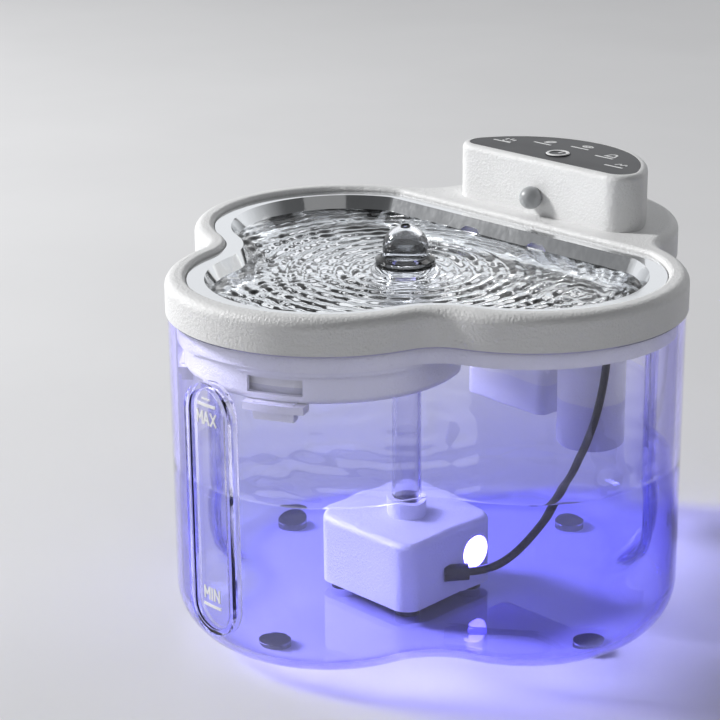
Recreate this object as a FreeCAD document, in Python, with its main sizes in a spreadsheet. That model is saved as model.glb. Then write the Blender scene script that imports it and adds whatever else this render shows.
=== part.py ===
import FreeCAD, Part
import Sketcher
import math
import os

from FreeCAD import Placement, Rotation, Vector

# A cordless water fountain for pets: a clear clover-shaped tank, a white rim cover with a head at
# the back, a steel drinking tray with a bubbling spout, a filter basket and a pump on a cable.
# Millimetres, +Z up, origin on the floor at the middle of the clover, +Y towards the head.

doc = FreeCAD.newDocument("PetFountain")
sheet = doc.addObject("Spreadsheet::Sheet", "Sizes")


class Size:
    """A length that keeps its number together with its expression in the sheet."""

    def __init__(self, value, text):
        self.value = float(value)
        self.text = text

    def __add__(self, other):
        other = as_size(other)
        return Size(self.value + other.value, "(%s + %s)" % (self.text, other.text))

    def __sub__(self, other):
        other = as_size(other)
        return Size(self.value - other.value, "(%s - %s)" % (self.text, other.text))

    def __mul__(self, factor):
        return Size(self.value * factor, "(%s * %s)" % (self.text, repr(float(factor))))

    def __neg__(self):
        return self * -1


def as_size(value):
    return value if isinstance(value, Size) else Size(value, repr(float(value)))


DRIVING = [
    # the clover plan
    ("lobe_radius", 55.0), ("side_reach", 45.0), ("front_reach", 50.0), ("notch_radius", 17.0),
    # heights, stacked from the floor up
    ("foot_rise", 2.0), ("tank_top", 119.0), ("seal_thick", 0.6), ("rim_height", 12.4),
    ("head_height", 20.6),
    # tank
    ("tank_inset", 0.6), ("tank_wall", 2.5), ("tank_floor", 2.5), ("tank_round", 20.0),
    ("foot_radius", 5.5), ("foot_recess", 0.8), ("foot_margin", 28.0), ("foot_side_margin", 23.0), ("fit_gap", 0.1),
    ("window_width", 22.0), ("window_low", 15.0), ("window_high", 105.0), ("window_rim", 2.0),
    ("window_out", 0.5), ("window_in", 4.4), ("mark_width", 9.0), ("mark_height", 1.0),
    ("mark_max", 97.0), ("mark_min", 25.0), ("mark_depth", 3.0), ("mark_margin", 10.0),
    ("print_depth", 0.3),
    # rim cover
    ("band_width", 7.0), ("shelf_width", 5.0), ("shelf_drop", 2.6), ("chord_drop", 3.0),
    ("corner_round", 8.0), ("rim_round", 3.5), ("band_round", 1.6), ("skirt_inset", 3.6),
    ("skirt_wall", 1.8), ("skirt_depth", 6.6), ("seal_inset", 0.9), ("seal_width", 1.9),
    # head
    ("head_gap", 1.5), ("head_centre_back", 7.0), ("head_margin", 13.0), ("head_corner", 9.0),
    ("head_round", 2.2), ("head_wall", 2.4), ("roof_thick", 1.0), ("panel_inset", 2.6),
    ("panel_thick", 1.55), ("panel_sunk", 0.05), ("panel_gap", 0.15), ("wire_inset", 7.0),
    ("button_radius", 4.5), ("button_setback", 12.5), ("button_gap", 0.25), ("button_rise", 0.5),
    ("button_edge", 0.3), ("button_ring", 0.8), ("button_travel", 0.6), ("stem_radius", 1.5),
    ("switch_side", 6.0), ("switch_tall", 1.9), ("switch_gap", 0.7), ("board_drop", 5.4),
    ("board_thick", 1.6), ("board_inset", 3.6), ("notch_gap", 0.6), ("post_radius", 2.5),
    ("post_side", 24.0), ("post_setback", 8.5), ("post_back_x", 9.5), ("post_back", 7.5),
    ("screw_radius", 2.2), ("screw_tall", 1.2), ("guide_radius", 1.6), ("guide_arc", 34.0),
    ("sensor_rise", 6.6), ("sensor_radius", 4.2), ("sensor_neck", 3.6), ("sensor_gap", 1.4),
    ("sensor_can", 3.5), ("sensor_can_deep", 3.4), ("sensor_board_side", 10.0),
    ("sensor_board_thick", 1.2), ("port_rise", 4.6), ("port_width", 9.0), ("port_depth", 7.5),
    ("port_tall", 3.3), ("port_wall", 0.4), ("port_end", 1.5), ("port_sunk", 0.6),
    ("port_board_wide", 16.0), ("port_board_deep", 10.4), ("port_board_back", 14.0),
    ("port_board_thick", 1.2), ("port_rest_wide", 14.0), ("port_rest_deep", 3.4),
    # lower housing with the cells
    ("plate_thick", 2.0), ("plate_seal", 0.6), ("plate_inset", 2.0), ("deck_seal_inset", 2.4),
    ("deck_seal_width", 2.0), ("block_side", 9.5), ("block_right", 5.0), ("block_setback", 1.5),
    ("block_deep", 25.0), ("block_lift", 6.0), ("block_corner", 4.0), ("column_side", 21.5),
    ("column_setback", 7.5), ("column_radius", 13.0), ("housing_wall", 2.0), ("housing_round", 1.5),
    ("cell_radius", 9.2), ("cell_length", 65.0), ("cell_room", 6.0), ("cell_left_side", 15.0),
    ("cell_left_setback", 14.0), ("driver_side", 9.0), ("driver_gap", 2.0), ("driver_wide", 17.0),
    ("driver_tall", 58.0), ("right_screw_x", 26.4), ("right_screw_setback", 24.4),
    ("left_screw_x", -15.4), ("left_screw_setback", 31.0), ("front_screw_x", 8.0),
    ("front_screw_setback", 5.0),
    # tray and spout
    ("tray_gap", 0.5), ("tray_sheet", 0.8), ("tray_depth", 16.0), ("wall_gap", 0.6), ("wall_run", 6.5),
    ("spout_y", -13.0), ("spout_base_radius", 12.0), ("spout_step", 1.5), ("spout_shoulder", 10.4),
    ("spout_collar", 10.5), ("collar_tall", 2.4), ("collar_slope", 1.0), ("collar_rise", 1.0),
    ("spout_dome", 8.0), ("dome_wall", 1.6), ("dome_straight", 6.5), ("dome_mouth", 1.5),
    ("neck_radius", 7.0), ("neck_depth", 8.0), ("nut_radius", 10.5), ("nut_tall", 3.0),
    ("spout_seal_thick", 0.6), ("drain_half", 16.4), ("drain_width", 10.0), ("drain_tall", 3.2),
    ("drain_nose", 2.2), ("drain_drop", 6.6),
    # riser and pump
    ("riser_radius", 4.75), ("riser_wall", 1.0), ("running_gap", 0.06), ("pump_half", 23.0),
    ("pump_lift", 3.0), ("pump_height", 25.5), ("pump_wall", 2.2), ("pump_corner", 6.0),
    ("pump_edge", 2.5), ("socket_tall", 5.0), ("socket_wall", 2.0), ("pump_base_thick", 2.0),
    ("pump_foot_radius", 4.0), ("pump_foot_inset", 6.5), ("motor_radius", 14.0), ("motor_height", 11.5),
    ("shaft_radius", 1.0), ("shaft_seat", 3.0), ("shaft_rise", 8.2), ("impeller_radius", 10.0),
    ("impeller_lift", 0.8), ("impeller_tall", 5.0), ("impeller_disc", 1.0), ("impeller_hub", 3.0),
    ("blade_thick", 1.2), ("blade_inset", 0.6), ("inlet_half", 11.0), ("inlet_rise", 5.5),
    ("inlet_tall", 12.0), ("grille_thick", 1.6), ("grille_slot", 1.8), ("grille_pitch", 3.3),
    ("grille_margin", 1.5), ("lamp_y", 0.0), ("lamp_rise", 13.5), ("lamp_radius", 6.0),
    ("lamp_window_thick", 1.6), ("lamp_board_side", 13.0), ("lamp_board_thick", 1.2),
    ("lamp_diode_side", 3.6), ("lamp_diode_tall", 1.4),
    # filter basket
    ("basket_gap", 6.0), ("basket_clear", 3.5), ("basket_wall", 1.8), ("basket_depth", 12.0),
    ("flange_width", 2.0), ("flange_thick", 1.5), ("flange_setback", 10.0), ("window_clear", 0.6),
    ("basket_corner", 9.0), ("basket_round", 3.0), ("slot_width", 3.0), ("slot_pitch", 9.0),
    ("slot_front", 30.0), ("slot_back", 8.0), ("ledge_width", 2.3), ("ledge_drop", 2.4),
    ("ledge_tall", 2.6), ("ledge_extra", 2.0), ("grip_inner", 2.6), ("grip_drop", 5.5),
    ("grip_tall", 6.0), ("grip_less", 5.0), ("grip_width", 0.9), ("finger_width", 19.0),
    ("finger_tall", 5.5), ("finger_lift", 2.9), ("finger_sunk", 2.0), ("filter_gap", 1.8),
    ("foam_tall", 3.0), ("cartridge_tall", 4.0), ("lid_tall", 1.2),
    # cable
    ("cable_radius", 1.5), ("gland_radius", 3.4), ("boot_radius", 3.0), ("boot_length", 9.0),
]

S = {}
for row, (alias, number) in enumerate(DRIVING, start=1):
    sheet.set("A%d" % row, alias)
    sheet.set("B%d" % row, repr(number))
    sheet.setAlias("B%d" % row, alias)
    S[alias] = Size(number, "Sizes." + alias)
doc.recompute()

# heights and places that follow from the driving sizes
S["tank_reach"] = S["front_reach"] + S["lobe_radius"] - S["tank_inset"]
S["window_front"] = S["tank_reach"] + S["window_out"]
S["window_back"] = S["tank_reach"] - S["window_in"]
S["chord_base"] = S["lobe_radius"] - S["chord_drop"]
S["head_front"] = S["chord_base"] + S["head_gap"]
S["head_centre"] = S["head_front"] - S["head_centre_back"]
S["head_back"] = S["front_reach"] + S["lobe_radius"] - S["head_margin"]
S["head_radius"] = S["head_back"] - S["head_centre"]
S["cover_base"] = S["tank_top"] + S["seal_thick"]
S["rim_top"] = S["cover_base"] + S["rim_height"]
S["skirt_low"] = S["cover_base"] - S["skirt_depth"]
S["head_top"] = S["rim_top"] + S["head_height"]
S["panel_seat"] = S["head_top"] - S["panel_sunk"] - S["panel_thick"]
S["head_roof"] = S["panel_seat"] - S["roof_thick"]
S["board_top"] = S["head_roof"] - S["board_drop"]
S["board_low"] = S["board_top"] - S["board_thick"]
S["button_y"] = S["head_front"] + S["button_setback"]
S["sensor_height"] = S["rim_top"] + S["sensor_rise"]
S["port_height"] = S["rim_top"] + S["port_rise"]
S["housing_top"] = S["cover_base"] - S["plate_seal"]
S["plate_low"] = S["housing_top"] - S["plate_thick"]
S["column_low"] = S["plate_low"] - S["cell_length"] - S["cell_room"]
S["block_low"] = S["column_low"] + S["block_lift"]
S["column_x"] = S["head_radius"] - S["column_side"]
S["block_left"] = S["block_side"] - S["head_radius"]
S["block_front"] = S["head_front"] + S["block_setback"]
S["block_back"] = S["block_front"] + S["block_deep"]
S["column_y"] = S["head_front"] + S["column_setback"]
S["cell_left_x"] = S["block_left"] + S["cell_left_side"]
S["cell_left_y"] = S["head_front"] + S["cell_left_setback"]
S["tray_floor"] = S["rim_top"] - S["tray_depth"]
S["neck_low"] = S["tray_floor"] - S["neck_depth"]
S["drain_height"] = S["rim_top"] - S["drain_drop"]
S["floor_top"] = S["foot_rise"] + S["tank_floor"]
S["pump_low"] = S["floor_top"] + S["pump_lift"]
S["pump_top"] = S["pump_low"] + S["pump_height"]
S["motor_low"] = S["pump_low"] + S["pump_base_thick"]
S["motor_top"] = S["motor_low"] + S["motor_height"]
S["impeller_low"] = S["motor_top"] + S["impeller_lift"]
S["shaft_low"] = S["motor_top"] - S["shaft_seat"]
S["lamp_height"] = S["pump_low"] + S["lamp_rise"]
S["basket_radius"] = S["lobe_radius"] - S["basket_gap"]
S["basket_flange"] = S["basket_radius"] + S["flange_width"]
S["ledge_radius"] = S["basket_radius"] + S["ledge_width"]
S["grip_reach"] = S["basket_radius"] + S["grip_width"]
S["basket_back"] = S["spout_y"] - S["nut_radius"] - S["basket_clear"]
S["basket_low"] = S["skirt_low"] - S["basket_depth"]
S["ledge_low"] = S["basket_low"] - S["ledge_drop"]
S["grip_low"] = S["basket_low"] - S["grip_drop"]


def bind(thing, path, size):
    thing.setExpression(path, as_size(size).text)


def new_body(label):
    body = doc.addObject("PartDesign::Body", label)
    body.Label = label
    return body


def new_sketch(body, name, height=0.0, plane="XY_Plane"):
    """A sketch on one of the body's own origin planes, moved along that plane's normal by height."""
    sketch = body.newObject("Sketcher::SketchObject", name)
    origin_plane = [item for item in body.Origin.OriginFeatures if item.Role == plane][0]
    sketch.AttachmentSupport = [(origin_plane, "")]
    sketch.MapMode = "FlatFace"
    size = as_size(height)
    sketch.AttachmentOffset = Placement(Vector(0, 0, size.value), Rotation())
    bind(sketch, "AttachmentOffset.Base.z", size)
    return sketch


def constrain(sketch, kind, *arguments):
    """Adds a constraint whose last argument may be a Size that stays bound to the sheet."""
    last = arguments[-1]
    if isinstance(last, Size):
        index = sketch.addConstraint(Sketcher.Constraint(kind, *arguments[:-1], last.value))
        sketch.setExpression("Constraints[%d]" % index, last.text)
        return index
    return sketch.addConstraint(Sketcher.Constraint(kind, *arguments))


def place_point(sketch, geometry, point, x, y):
    """Holds a point of the geometry at x, y from the sketch's origin."""
    for kind, size in (("DistanceX", x), ("DistanceY", y)):
        size = as_size(size)
        if size.value == 0.0:
            axis = -2 if kind == "DistanceX" else -1
            constrain(sketch, "PointOnObject", geometry, point, axis)
        else:
            constrain(sketch, kind, -1, 1, geometry, point, size)


def add_circle(sketch, x, y, radius):
    x, y, radius = as_size(x), as_size(y), as_size(radius)
    circle = sketch.addGeometry(Part.Circle(Vector(x.value, y.value), Vector(0, 0, 1), radius.value))
    constrain(sketch, "Radius", circle, radius)
    place_point(sketch, circle, 3, x, y)
    return circle


def add_rectangle(sketch, x_low, x_high, y_low, y_high):
    sides = [as_size(side) for side in (x_low, x_high, y_low, y_high)]
    left, right, low, high = [side.value for side in sides]
    corners = [Vector(left, low), Vector(right, low), Vector(right, high), Vector(left, high)]
    lines = []
    for start, end in zip(corners, corners[1:] + corners[:1]):
        lines.append(sketch.addGeometry(Part.LineSegment(start, end)))
    for line, following in zip(lines, lines[1:] + lines[:1]):
        constrain(sketch, "Coincident", line, 2, following, 1)
    for line, kind in zip(lines, ("Horizontal", "Vertical", "Horizontal", "Vertical")):
        constrain(sketch, kind, line)
    place_point(sketch, lines[0], 1, sides[0], sides[2])
    place_point(sketch, lines[2], 1, sides[1], sides[3])


def arc_between(centre, radius, start, end):
    """An arc about centre, anticlockwise from the point start to the point end."""
    begin = math.atan2(start.y - centre.y, start.x - centre.x)
    finish = math.atan2(end.y - centre.y, end.x - centre.x)
    if finish <= begin:
        finish += 2 * math.pi
    return Part.ArcOfCircle(Part.Circle(centre, Vector(0, 0, 1), radius), begin, finish)


def notch_centre(lobe_a, lobe_b, reach, side):
    """Centre of the notch circle that touches both lobes, on the side of the line away from the middle."""
    half = (lobe_b - lobe_a) * 0.5
    away = Vector(half.y, -half.x).normalize() * side
    return lobe_a + half + away * math.sqrt(reach ** 2 - half.Length ** 2)


def add_clover(sketch, inset):
    """The four-lobed plan, moved in by inset: lobes get smaller and the notches between them larger."""
    lobe, notch = S["lobe_radius"] - inset, S["notch_radius"] + inset
    side, front = S["side_reach"].value, S["front_reach"].value
    centres = [Vector(0, -front), Vector(side, 0), Vector(0, front), Vector(-side, 0)]
    hollows = []
    for centre, following in zip(centres, centres[1:] + centres[:1]):
        hollows.append(notch_centre(centre, following, lobe.value + notch.value, 1))
    arcs = []
    for index, centre in enumerate(centres):
        before, after = hollows[index - 1], hollows[index]
        start = centre + (before - centre).normalize() * lobe.value
        end = centre + (after - centre).normalize() * lobe.value
        arcs.append(sketch.addGeometry(arc_between(centre, lobe.value, start, end)))
        start_next = centres[(index + 1) % 4] + (after - centres[(index + 1) % 4]).normalize() * lobe.value
        arcs.append(sketch.addGeometry(arc_between(after, notch.value, start_next, end)))
    for index in range(4):
        lobe_arc, notch_arc, next_lobe = arcs[2 * index], arcs[2 * index + 1], arcs[(2 * index + 2) % 8]
        constrain(sketch, "Tangent", lobe_arc, 2, notch_arc, 2)
        constrain(sketch, "Tangent", notch_arc, 1, next_lobe, 1)
        constrain(sketch, "Radius", lobe_arc, lobe)
        constrain(sketch, "Radius", notch_arc, notch)
    side, front = S["side_reach"], S["front_reach"]
    for index, (x, y) in enumerate([(0.0, -front), (side, 0.0), (0.0, front), (-side, 0.0)]):
        place_point(sketch, arcs[2 * index], 3, x, y)


def add_bowl(sketch, inset):
    """The three-lobed tray plan, moved in by inset, closed at the head by a straight chord."""
    lobe, notch = S["lobe_radius"] - inset, S["notch_radius"] + inset
    chord, corner = S["chord_base"] - inset, S["corner_round"]
    side = S["side_reach"].value
    front_lobe = Vector(0, -S["front_reach"].value)
    right_lobe, left_lobe = Vector(side, 0), Vector(-side, 0)
    reach = lobe.value + notch.value
    right_notch = notch_centre(front_lobe, right_lobe, reach, 1)
    left_notch = Vector(-right_notch.x, right_notch.y)
    corner_y = chord.value - corner.value
    corner_x = side + math.sqrt((lobe.value - corner.value) ** 2 - corner_y ** 2)
    right_corner, left_corner = Vector(corner_x, corner_y), Vector(-corner_x, corner_y)

    def towards(centre, target, radius):
        return centre + (target - centre).normalize() * radius

    front_right = towards(front_lobe, right_notch, lobe.value)
    right_low = towards(right_lobe, right_notch, lobe.value)
    right_high = towards(right_lobe, right_corner, lobe.value)
    left_high = Vector(-right_high.x, right_high.y)
    left_low = Vector(-right_low.x, right_low.y)
    front_left = Vector(-front_right.x, front_right.y)
    chord_right = Vector(corner_x, chord.value)
    chord_left = Vector(-corner_x, chord.value)
    pieces = [
        arc_between(front_lobe, lobe.value, front_left, front_right),
        arc_between(right_notch, notch.value, right_low, front_right),
        arc_between(right_lobe, lobe.value, right_low, right_high),
        arc_between(right_corner, corner.value, right_high, chord_right),
        Part.LineSegment(chord_right, chord_left),
        arc_between(left_corner, corner.value, chord_left, left_high),
        arc_between(left_lobe, lobe.value, left_high, left_low),
        arc_between(left_notch, notch.value, front_left, left_low),
    ]
    index = [sketch.addGeometry(piece) for piece in pieces]
    joins = [
        (0, 2, 1, 2), (1, 1, 2, 1), (2, 2, 3, 1), (3, 2, 4, 1),
        (4, 2, 5, 1), (5, 2, 6, 1), (6, 2, 7, 2), (7, 1, 0, 1)]
    for first, first_end, second, second_end in joins:
        constrain(sketch, "Tangent", index[first], first_end, index[second], second_end)
    for number, radius in ((0, lobe), (1, notch), (2, lobe), (3, corner), (5, corner), (6, lobe), (7, notch)):
        constrain(sketch, "Radius", index[number], radius)
    place_point(sketch, index[0], 3, 0.0, -S["front_reach"])
    place_point(sketch, index[2], 3, S["side_reach"], 0.0)
    place_point(sketch, index[6], 3, -S["side_reach"], 0.0)
    constrain(sketch, "DistanceY", -1, 1, index[4], 1, chord)


def add_head_plan(sketch, inset):
    """The head's D-shaped plan, moved in by inset: a straight front and an arc behind it."""
    radius, front = S["head_radius"] - inset, S["head_front"] + inset
    corner = S["head_corner"] - inset
    centre = Vector(0, S["head_centre"].value)
    corner_y = front.value + corner.value
    corner_x = math.sqrt((radius.value - corner.value) ** 2 - (corner_y - centre.y) ** 2)
    right, left = Vector(corner_x, corner_y), Vector(-corner_x, corner_y)
    right_join = centre + (right - centre).normalize() * radius.value
    left_join = Vector(-right_join.x, right_join.y)
    front_left, front_right = Vector(-corner_x, front.value), Vector(corner_x, front.value)
    pieces = [
        Part.LineSegment(front_left, front_right),
        arc_between(right, corner.value, front_right, right_join),
        arc_between(centre, radius.value, right_join, left_join),
        arc_between(left, corner.value, left_join, front_left),
    ]
    index = [sketch.addGeometry(piece) for piece in pieces]
    for first in range(4):
        constrain(sketch, "Tangent", index[first], 2, index[(first + 1) % 4], 1)
    constrain(sketch, "Radius", index[1], corner)
    constrain(sketch, "Radius", index[2], radius)
    constrain(sketch, "Radius", index[3], corner)
    place_point(sketch, index[2], 3, 0.0, S["head_centre"])
    constrain(sketch, "DistanceY", -1, 1, index[0], 1, front)


def add_slot(sketch, width, low, high):
    """An upright slot with round ends, centred on the sketch's vertical axis."""
    width, low, high = as_size(width), as_size(low), as_size(high)
    radius = width * 0.5
    bottom, top = Vector(0, low.value + radius.value), Vector(0, high.value - radius.value)
    across = Vector(radius.value, 0)
    pieces = [
        arc_between(bottom, radius.value, bottom - across, bottom + across),
        Part.LineSegment(bottom + across, top + across),
        arc_between(top, radius.value, top + across, top - across),
        Part.LineSegment(top - across, bottom - across),
    ]
    index = [sketch.addGeometry(piece) for piece in pieces]
    for first in range(4):
        constrain(sketch, "Tangent", index[first], 2, index[(first + 1) % 4], 1)
    constrain(sketch, "Radius", index[0], radius)
    place_point(sketch, index[0], 3, 0.0, low + radius)
    place_point(sketch, index[2], 3, 0.0, high - radius)


def add_profile(sketch, points):
    """A closed outline of straight lines through points given as (x, y) sizes."""
    points = [(as_size(x), as_size(y)) for x, y in points]
    spots = [Vector(x.value, y.value) for x, y in points]
    index = []
    for start, end in zip(spots, spots[1:] + spots[:1]):
        index.append(sketch.addGeometry(Part.LineSegment(start, end)))
    for line, following in zip(index, index[1:] + index[:1]):
        constrain(sketch, "Coincident", line, 2, following, 1)
    for line, (x, y) in zip(index, points):
        place_point(sketch, line, 1, x, y)


def feature(body, kind, name, sketch, size, turned_round=False):
    item = body.newObject(kind, name)
    item.Profile = sketch
    bind(item, "Length", size)
    item.Length = as_size(size).value
    item.Reversed = turned_round
    return item


def settle(item):
    """Recomputes and stops at once if the feature failed."""
    doc.recompute()
    if item.Shape.isNull() or not item.Shape.isValid() or "Invalid" in item.State:
        raise RuntimeError("%s failed: %s %s" % (item.Name, item.State, item.getStatusString()))
    return item


def pad(body, name, sketch, length, turned_round=False):
    return settle(feature(body, "PartDesign::Pad", name, sketch, length, turned_round))


def pocket(body, name, sketch, length, turned_round=False):
    before = body.Shape.Volume
    item = settle(feature(body, "PartDesign::Pocket", name, sketch, length, turned_round))
    if body.Shape.Volume >= before - 1e-6:
        raise RuntimeError(name + " removes nothing")
    return item


def spin(body, name, sketch, axis="V_Axis"):
    item = body.newObject("PartDesign::Revolution", name)
    item.Profile = sketch
    item.ReferenceAxis = (sketch, [axis])
    item.Angle = 360.0
    return settle(item)


def round_edges(body, name, base, radius, wanted):
    """A fillet on every edge of the base feature for which wanted(edge) is true."""
    names = ["Edge%d" % number for number, edge in enumerate(base.Shape.Edges, start=1) if wanted(edge)]
    item = body.newObject("PartDesign::Fillet", name)
    item.Base = (base, names)
    size = as_size(radius)
    item.Radius = size.value
    bind(item, "Radius", size)
    return settle(item)


def level(height, inner=None):
    """Tells whether an edge lies flat at a height, and inside the inner reach when one is given."""
    height = as_size(height).value

    def wanted(edge):
        box = edge.BoundBox
        flat = abs(box.ZMin - height) < 0.01 and abs(box.ZMax - height) < 0.01
        return flat and (inner is None or inner(edge))
    return wanted


def upright(edge):
    box = edge.BoundBox
    return box.XLength < 0.01 and box.YLength < 0.01 and box.ZLength > 1.0


def cylinder(name, x, y, z, radius, height, axis=None):
    item = doc.addObject("Part::Cylinder", name)
    bind(item, "Radius", radius)
    bind(item, "Height", height)
    put(item, x, y, z, axis)
    return item


def box(name, x, y, z, x_length, y_length, z_length, turn=None):
    item = doc.addObject("Part::Box", name)
    bind(item, "Length", x_length)
    bind(item, "Width", y_length)
    bind(item, "Height", z_length)
    put(item, x, y, z, turn)
    return item


def put(item, x, y, z, rotation=None):
    x, y, z = as_size(x), as_size(y), as_size(z)
    item.Placement = Placement(Vector(x.value, y.value, z.value), rotation or Rotation())
    for axis, size in (("x", x), ("y", y), ("z", z)):
        bind(item, "Placement.Base." + axis, size)


def cut(name, base, tool):
    item = doc.addObject("Part::Cut", name)
    item.Base = base
    item.Tool = tool
    return item


def fuse(name, shapes):
    item = doc.addObject("Part::MultiFuse", name)
    item.Shapes = shapes
    return item


def common(name, shapes):
    item = doc.addObject("Part::MultiCommon", name)
    item.Shapes = shapes
    return item


NODES = []


def keep(item, label=None):
    if label:
        item.Label = label
    NODES.append(item)
    return item


def make_tank():
    """The clear clover-shaped tank with its level window and the seats of its feet."""
    outside = new_body("TankOutside")
    outline = new_sketch(outside, "TankOutline", S["foot_rise"])
    add_clover(outline, S["tank_inset"])
    solid = pad(outside, "TankBlock", outline, S["tank_top"] - S["foot_rise"])
    round_edges(outside, "TankFoot", solid, S["tank_round"], level(S["foot_rise"]))
    seats = new_sketch(outside, "FootSeats", S["foot_rise"])
    for x, y in foot_places():
        add_circle(seats, x, y, S["foot_radius"] + S["fit_gap"])
    pocket(outside, "FootRecesses", seats, S["foot_recess"], True)
    core = new_body("TankCore")
    floor = S["floor_top"]
    inside = new_sketch(core, "TankInside", floor)
    add_clover(inside, S["tank_inset"] + S["tank_wall"])
    block = pad(core, "CoreBlock", inside, S["tank_top"] - floor + 1.0)
    round_edges(core, "CoreFoot", block, S["tank_round"] - S["tank_wall"], level(floor))
    window = new_body("WindowFrame")
    frame = new_sketch(window, "WindowOutline", S["window_front"], "XZ_Plane")
    add_slot(frame, S["window_width"], S["window_low"], S["window_high"])
    rim = S["window_rim"]
    add_slot(frame, S["window_width"] - rim * 2, S["window_low"] + rim, S["window_high"] - rim)
    pad(window, "WindowRim", frame, S["window_front"] - S["window_back"], True)
    keep(fuse("tank", [cut("TankShell", outside, core), window]))


def foot_places():
    """One foot under each lobe, set in from the lobe's end."""
    x = S["side_reach"] + S["lobe_radius"] - S["foot_side_margin"]
    y = S["front_reach"] + S["lobe_radius"] - S["foot_margin"]
    return [(0.0, -y), (x, 0.0), (0.0, y), (-x, 0.0)]


def make_feet():
    """Four rubber discs, one under each lobe."""
    for place, (x, y) in zip(("front", "right", "back", "left"), foot_places()):
        keep(cylinder("foot_" + place, x, y, 0.0, S["foot_radius"], S["foot_rise"] + S["foot_recess"]))


def make_level_marks():
    """The two printed lines of the level window, as a thin skin on the front lobe's wall."""
    wall = S["lobe_radius"] - S["tank_inset"]
    tall = S["mark_max"] - S["mark_min"] + S["mark_margin"] * 2
    low = S["mark_min"] - S["mark_margin"]
    outer = cylinder("MarkSkinOuter", 0.0, -S["front_reach"], low, wall + S["print_depth"], tall)
    inner = cylinder("MarkSkinInner", 0.0, -S["front_reach"], low, wall, tall)
    skin = cut("MarkSkin", outer, inner)
    strips = []
    for name, height in (("MarkMax", S["mark_max"]), ("MarkMin", S["mark_min"])):
        front = -S["front_reach"] - wall - S["print_depth"]
        width, depth = S["mark_width"], S["mark_depth"]
        strips.append(box(name, -width * 0.5, front, height, width, depth, S["mark_height"]))
    keep(common("level_marks", [skin, fuse("MarkStrips", strips)]))


def make_cover_seal():
    """The soft ring between the tank's edge and the cover."""
    body = new_body("cover_seal")
    ring = new_sketch(body, "SealRing", S["tank_top"])
    add_clover(ring, S["seal_inset"])
    add_clover(ring, S["seal_inset"] + S["seal_width"])
    pad(body, "SealPad", ring, S["seal_thick"])
    keep(body)


def make_rim_cover():
    """The white cover: rounded rim, shelf for the tray, skirt inside the tank, deck under the head."""
    body = new_body("rim_cover")
    outline = new_sketch(body, "RimOutline", S["cover_base"])
    add_clover(outline, as_size(0.0))
    solid = pad(body, "RimBlock", outline, S["rim_height"])
    round_edges(body, "RimRound", solid, S["rim_round"], level(S["rim_top"]))
    shelf = new_sketch(body, "ShelfOutline", S["rim_top"])
    add_bowl(shelf, S["band_width"])
    seat = pocket(body, "ShelfPocket", shelf, S["shelf_drop"])

    def inside_band(edge):
        return edge.BoundBox.YMax < S["chord_base"].value - S["band_width"].value + 0.01
    round_edges(body, "BandRound", seat, S["band_round"], level(S["rim_top"], inside_band))
    opening = new_sketch(body, "BowlOpening", S["rim_top"])
    add_bowl(opening, S["band_width"] + S["shelf_width"])
    pocket(body, "BowlThrough", opening, S["rim_height"])
    skirt = new_sketch(body, "SkirtRing", S["skirt_low"])
    add_clover(skirt, S["skirt_inset"])
    add_clover(skirt, S["skirt_inset"] + S["skirt_wall"])
    pad(body, "SkirtPad", skirt, S["skirt_depth"])
    wires = new_sketch(body, "WireOpening", S["rim_top"])
    add_head_plan(wires, S["wire_inset"])
    pocket(body, "WireThrough", wires, S["rim_height"])
    keep(body)


GUIDE_ANGLES = (152.0, 121.0, 90.0, 59.0, 28.0)


def guide_places():
    """Five indicator places on an arc behind the button."""
    places = []
    for degrees in GUIDE_ANGLES:
        turn = math.radians(degrees)
        places.append((S["guide_arc"] * math.cos(turn), S["head_centre"] + S["guide_arc"] * math.sin(turn)))
    return places


def post_places():
    """Two screw posts near the head's front and one at the back."""
    side, front = S["post_side"], S["head_front"] + S["post_setback"]
    return [(-side, front), (side, front), (S["post_back_x"], S["head_back"] - S["post_back"])]


def make_head_shell():
    """The D-shaped head on the back lobe."""
    body = new_body("head_shell")
    outline = new_sketch(body, "HeadOutline", S["rim_top"])
    add_head_plan(outline, as_size(0.0))
    solid = pad(body, "HeadBlock", outline, S["head_height"])
    round_edges(body, "HeadRound", solid, S["head_round"], level(S["head_top"]))
    seat = new_sketch(body, "PanelSeat", S["head_top"])
    add_head_plan(seat, S["panel_inset"])
    pocket(body, "PanelPocket", seat, S["head_top"] - S["panel_seat"])
    inside = new_sketch(body, "HeadInside", S["rim_top"])
    add_head_plan(inside, S["head_wall"])
    pocket(body, "HeadHollow", inside, S["head_roof"] - S["rim_top"], True)
    posts = new_sketch(body, "BoardPosts", S["board_top"])
    for x, y in post_places():
        add_circle(posts, x, y, S["post_radius"])
    pad(body, "PostPads", posts, S["head_roof"] - S["board_top"] + 0.2)
    holes = new_sketch(body, "RoofHoles", S["panel_seat"])
    add_circle(holes, 0.0, S["button_y"], S["stem_radius"] + S["fit_gap"] * 2)
    for x, y in guide_places():
        add_circle(holes, x, y, S["guide_radius"] + S["fit_gap"])
    pocket(body, "RoofHolesCut", holes, S["roof_thick"])
    sensor = new_sketch(body, "SensorHole", -S["head_front"], "XZ_Plane")
    add_circle(sensor, 0.0, S["sensor_height"], S["sensor_neck"] + S["fit_gap"])
    pocket(body, "SensorBore", sensor, S["head_wall"] + 1.0)
    socket = new_sketch(body, "PortHole", -S["head_back"], "XZ_Plane")
    half = S["port_width"] * 0.5 + S["fit_gap"] * 2
    low, gap = S["port_height"], S["fit_gap"] * 2
    add_rectangle(socket, -half, half, low - gap, low + S["port_tall"] + gap)
    pocket(body, "PortBore", socket, S["head_wall"] + 1.0, True)
    keep(body)


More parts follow.
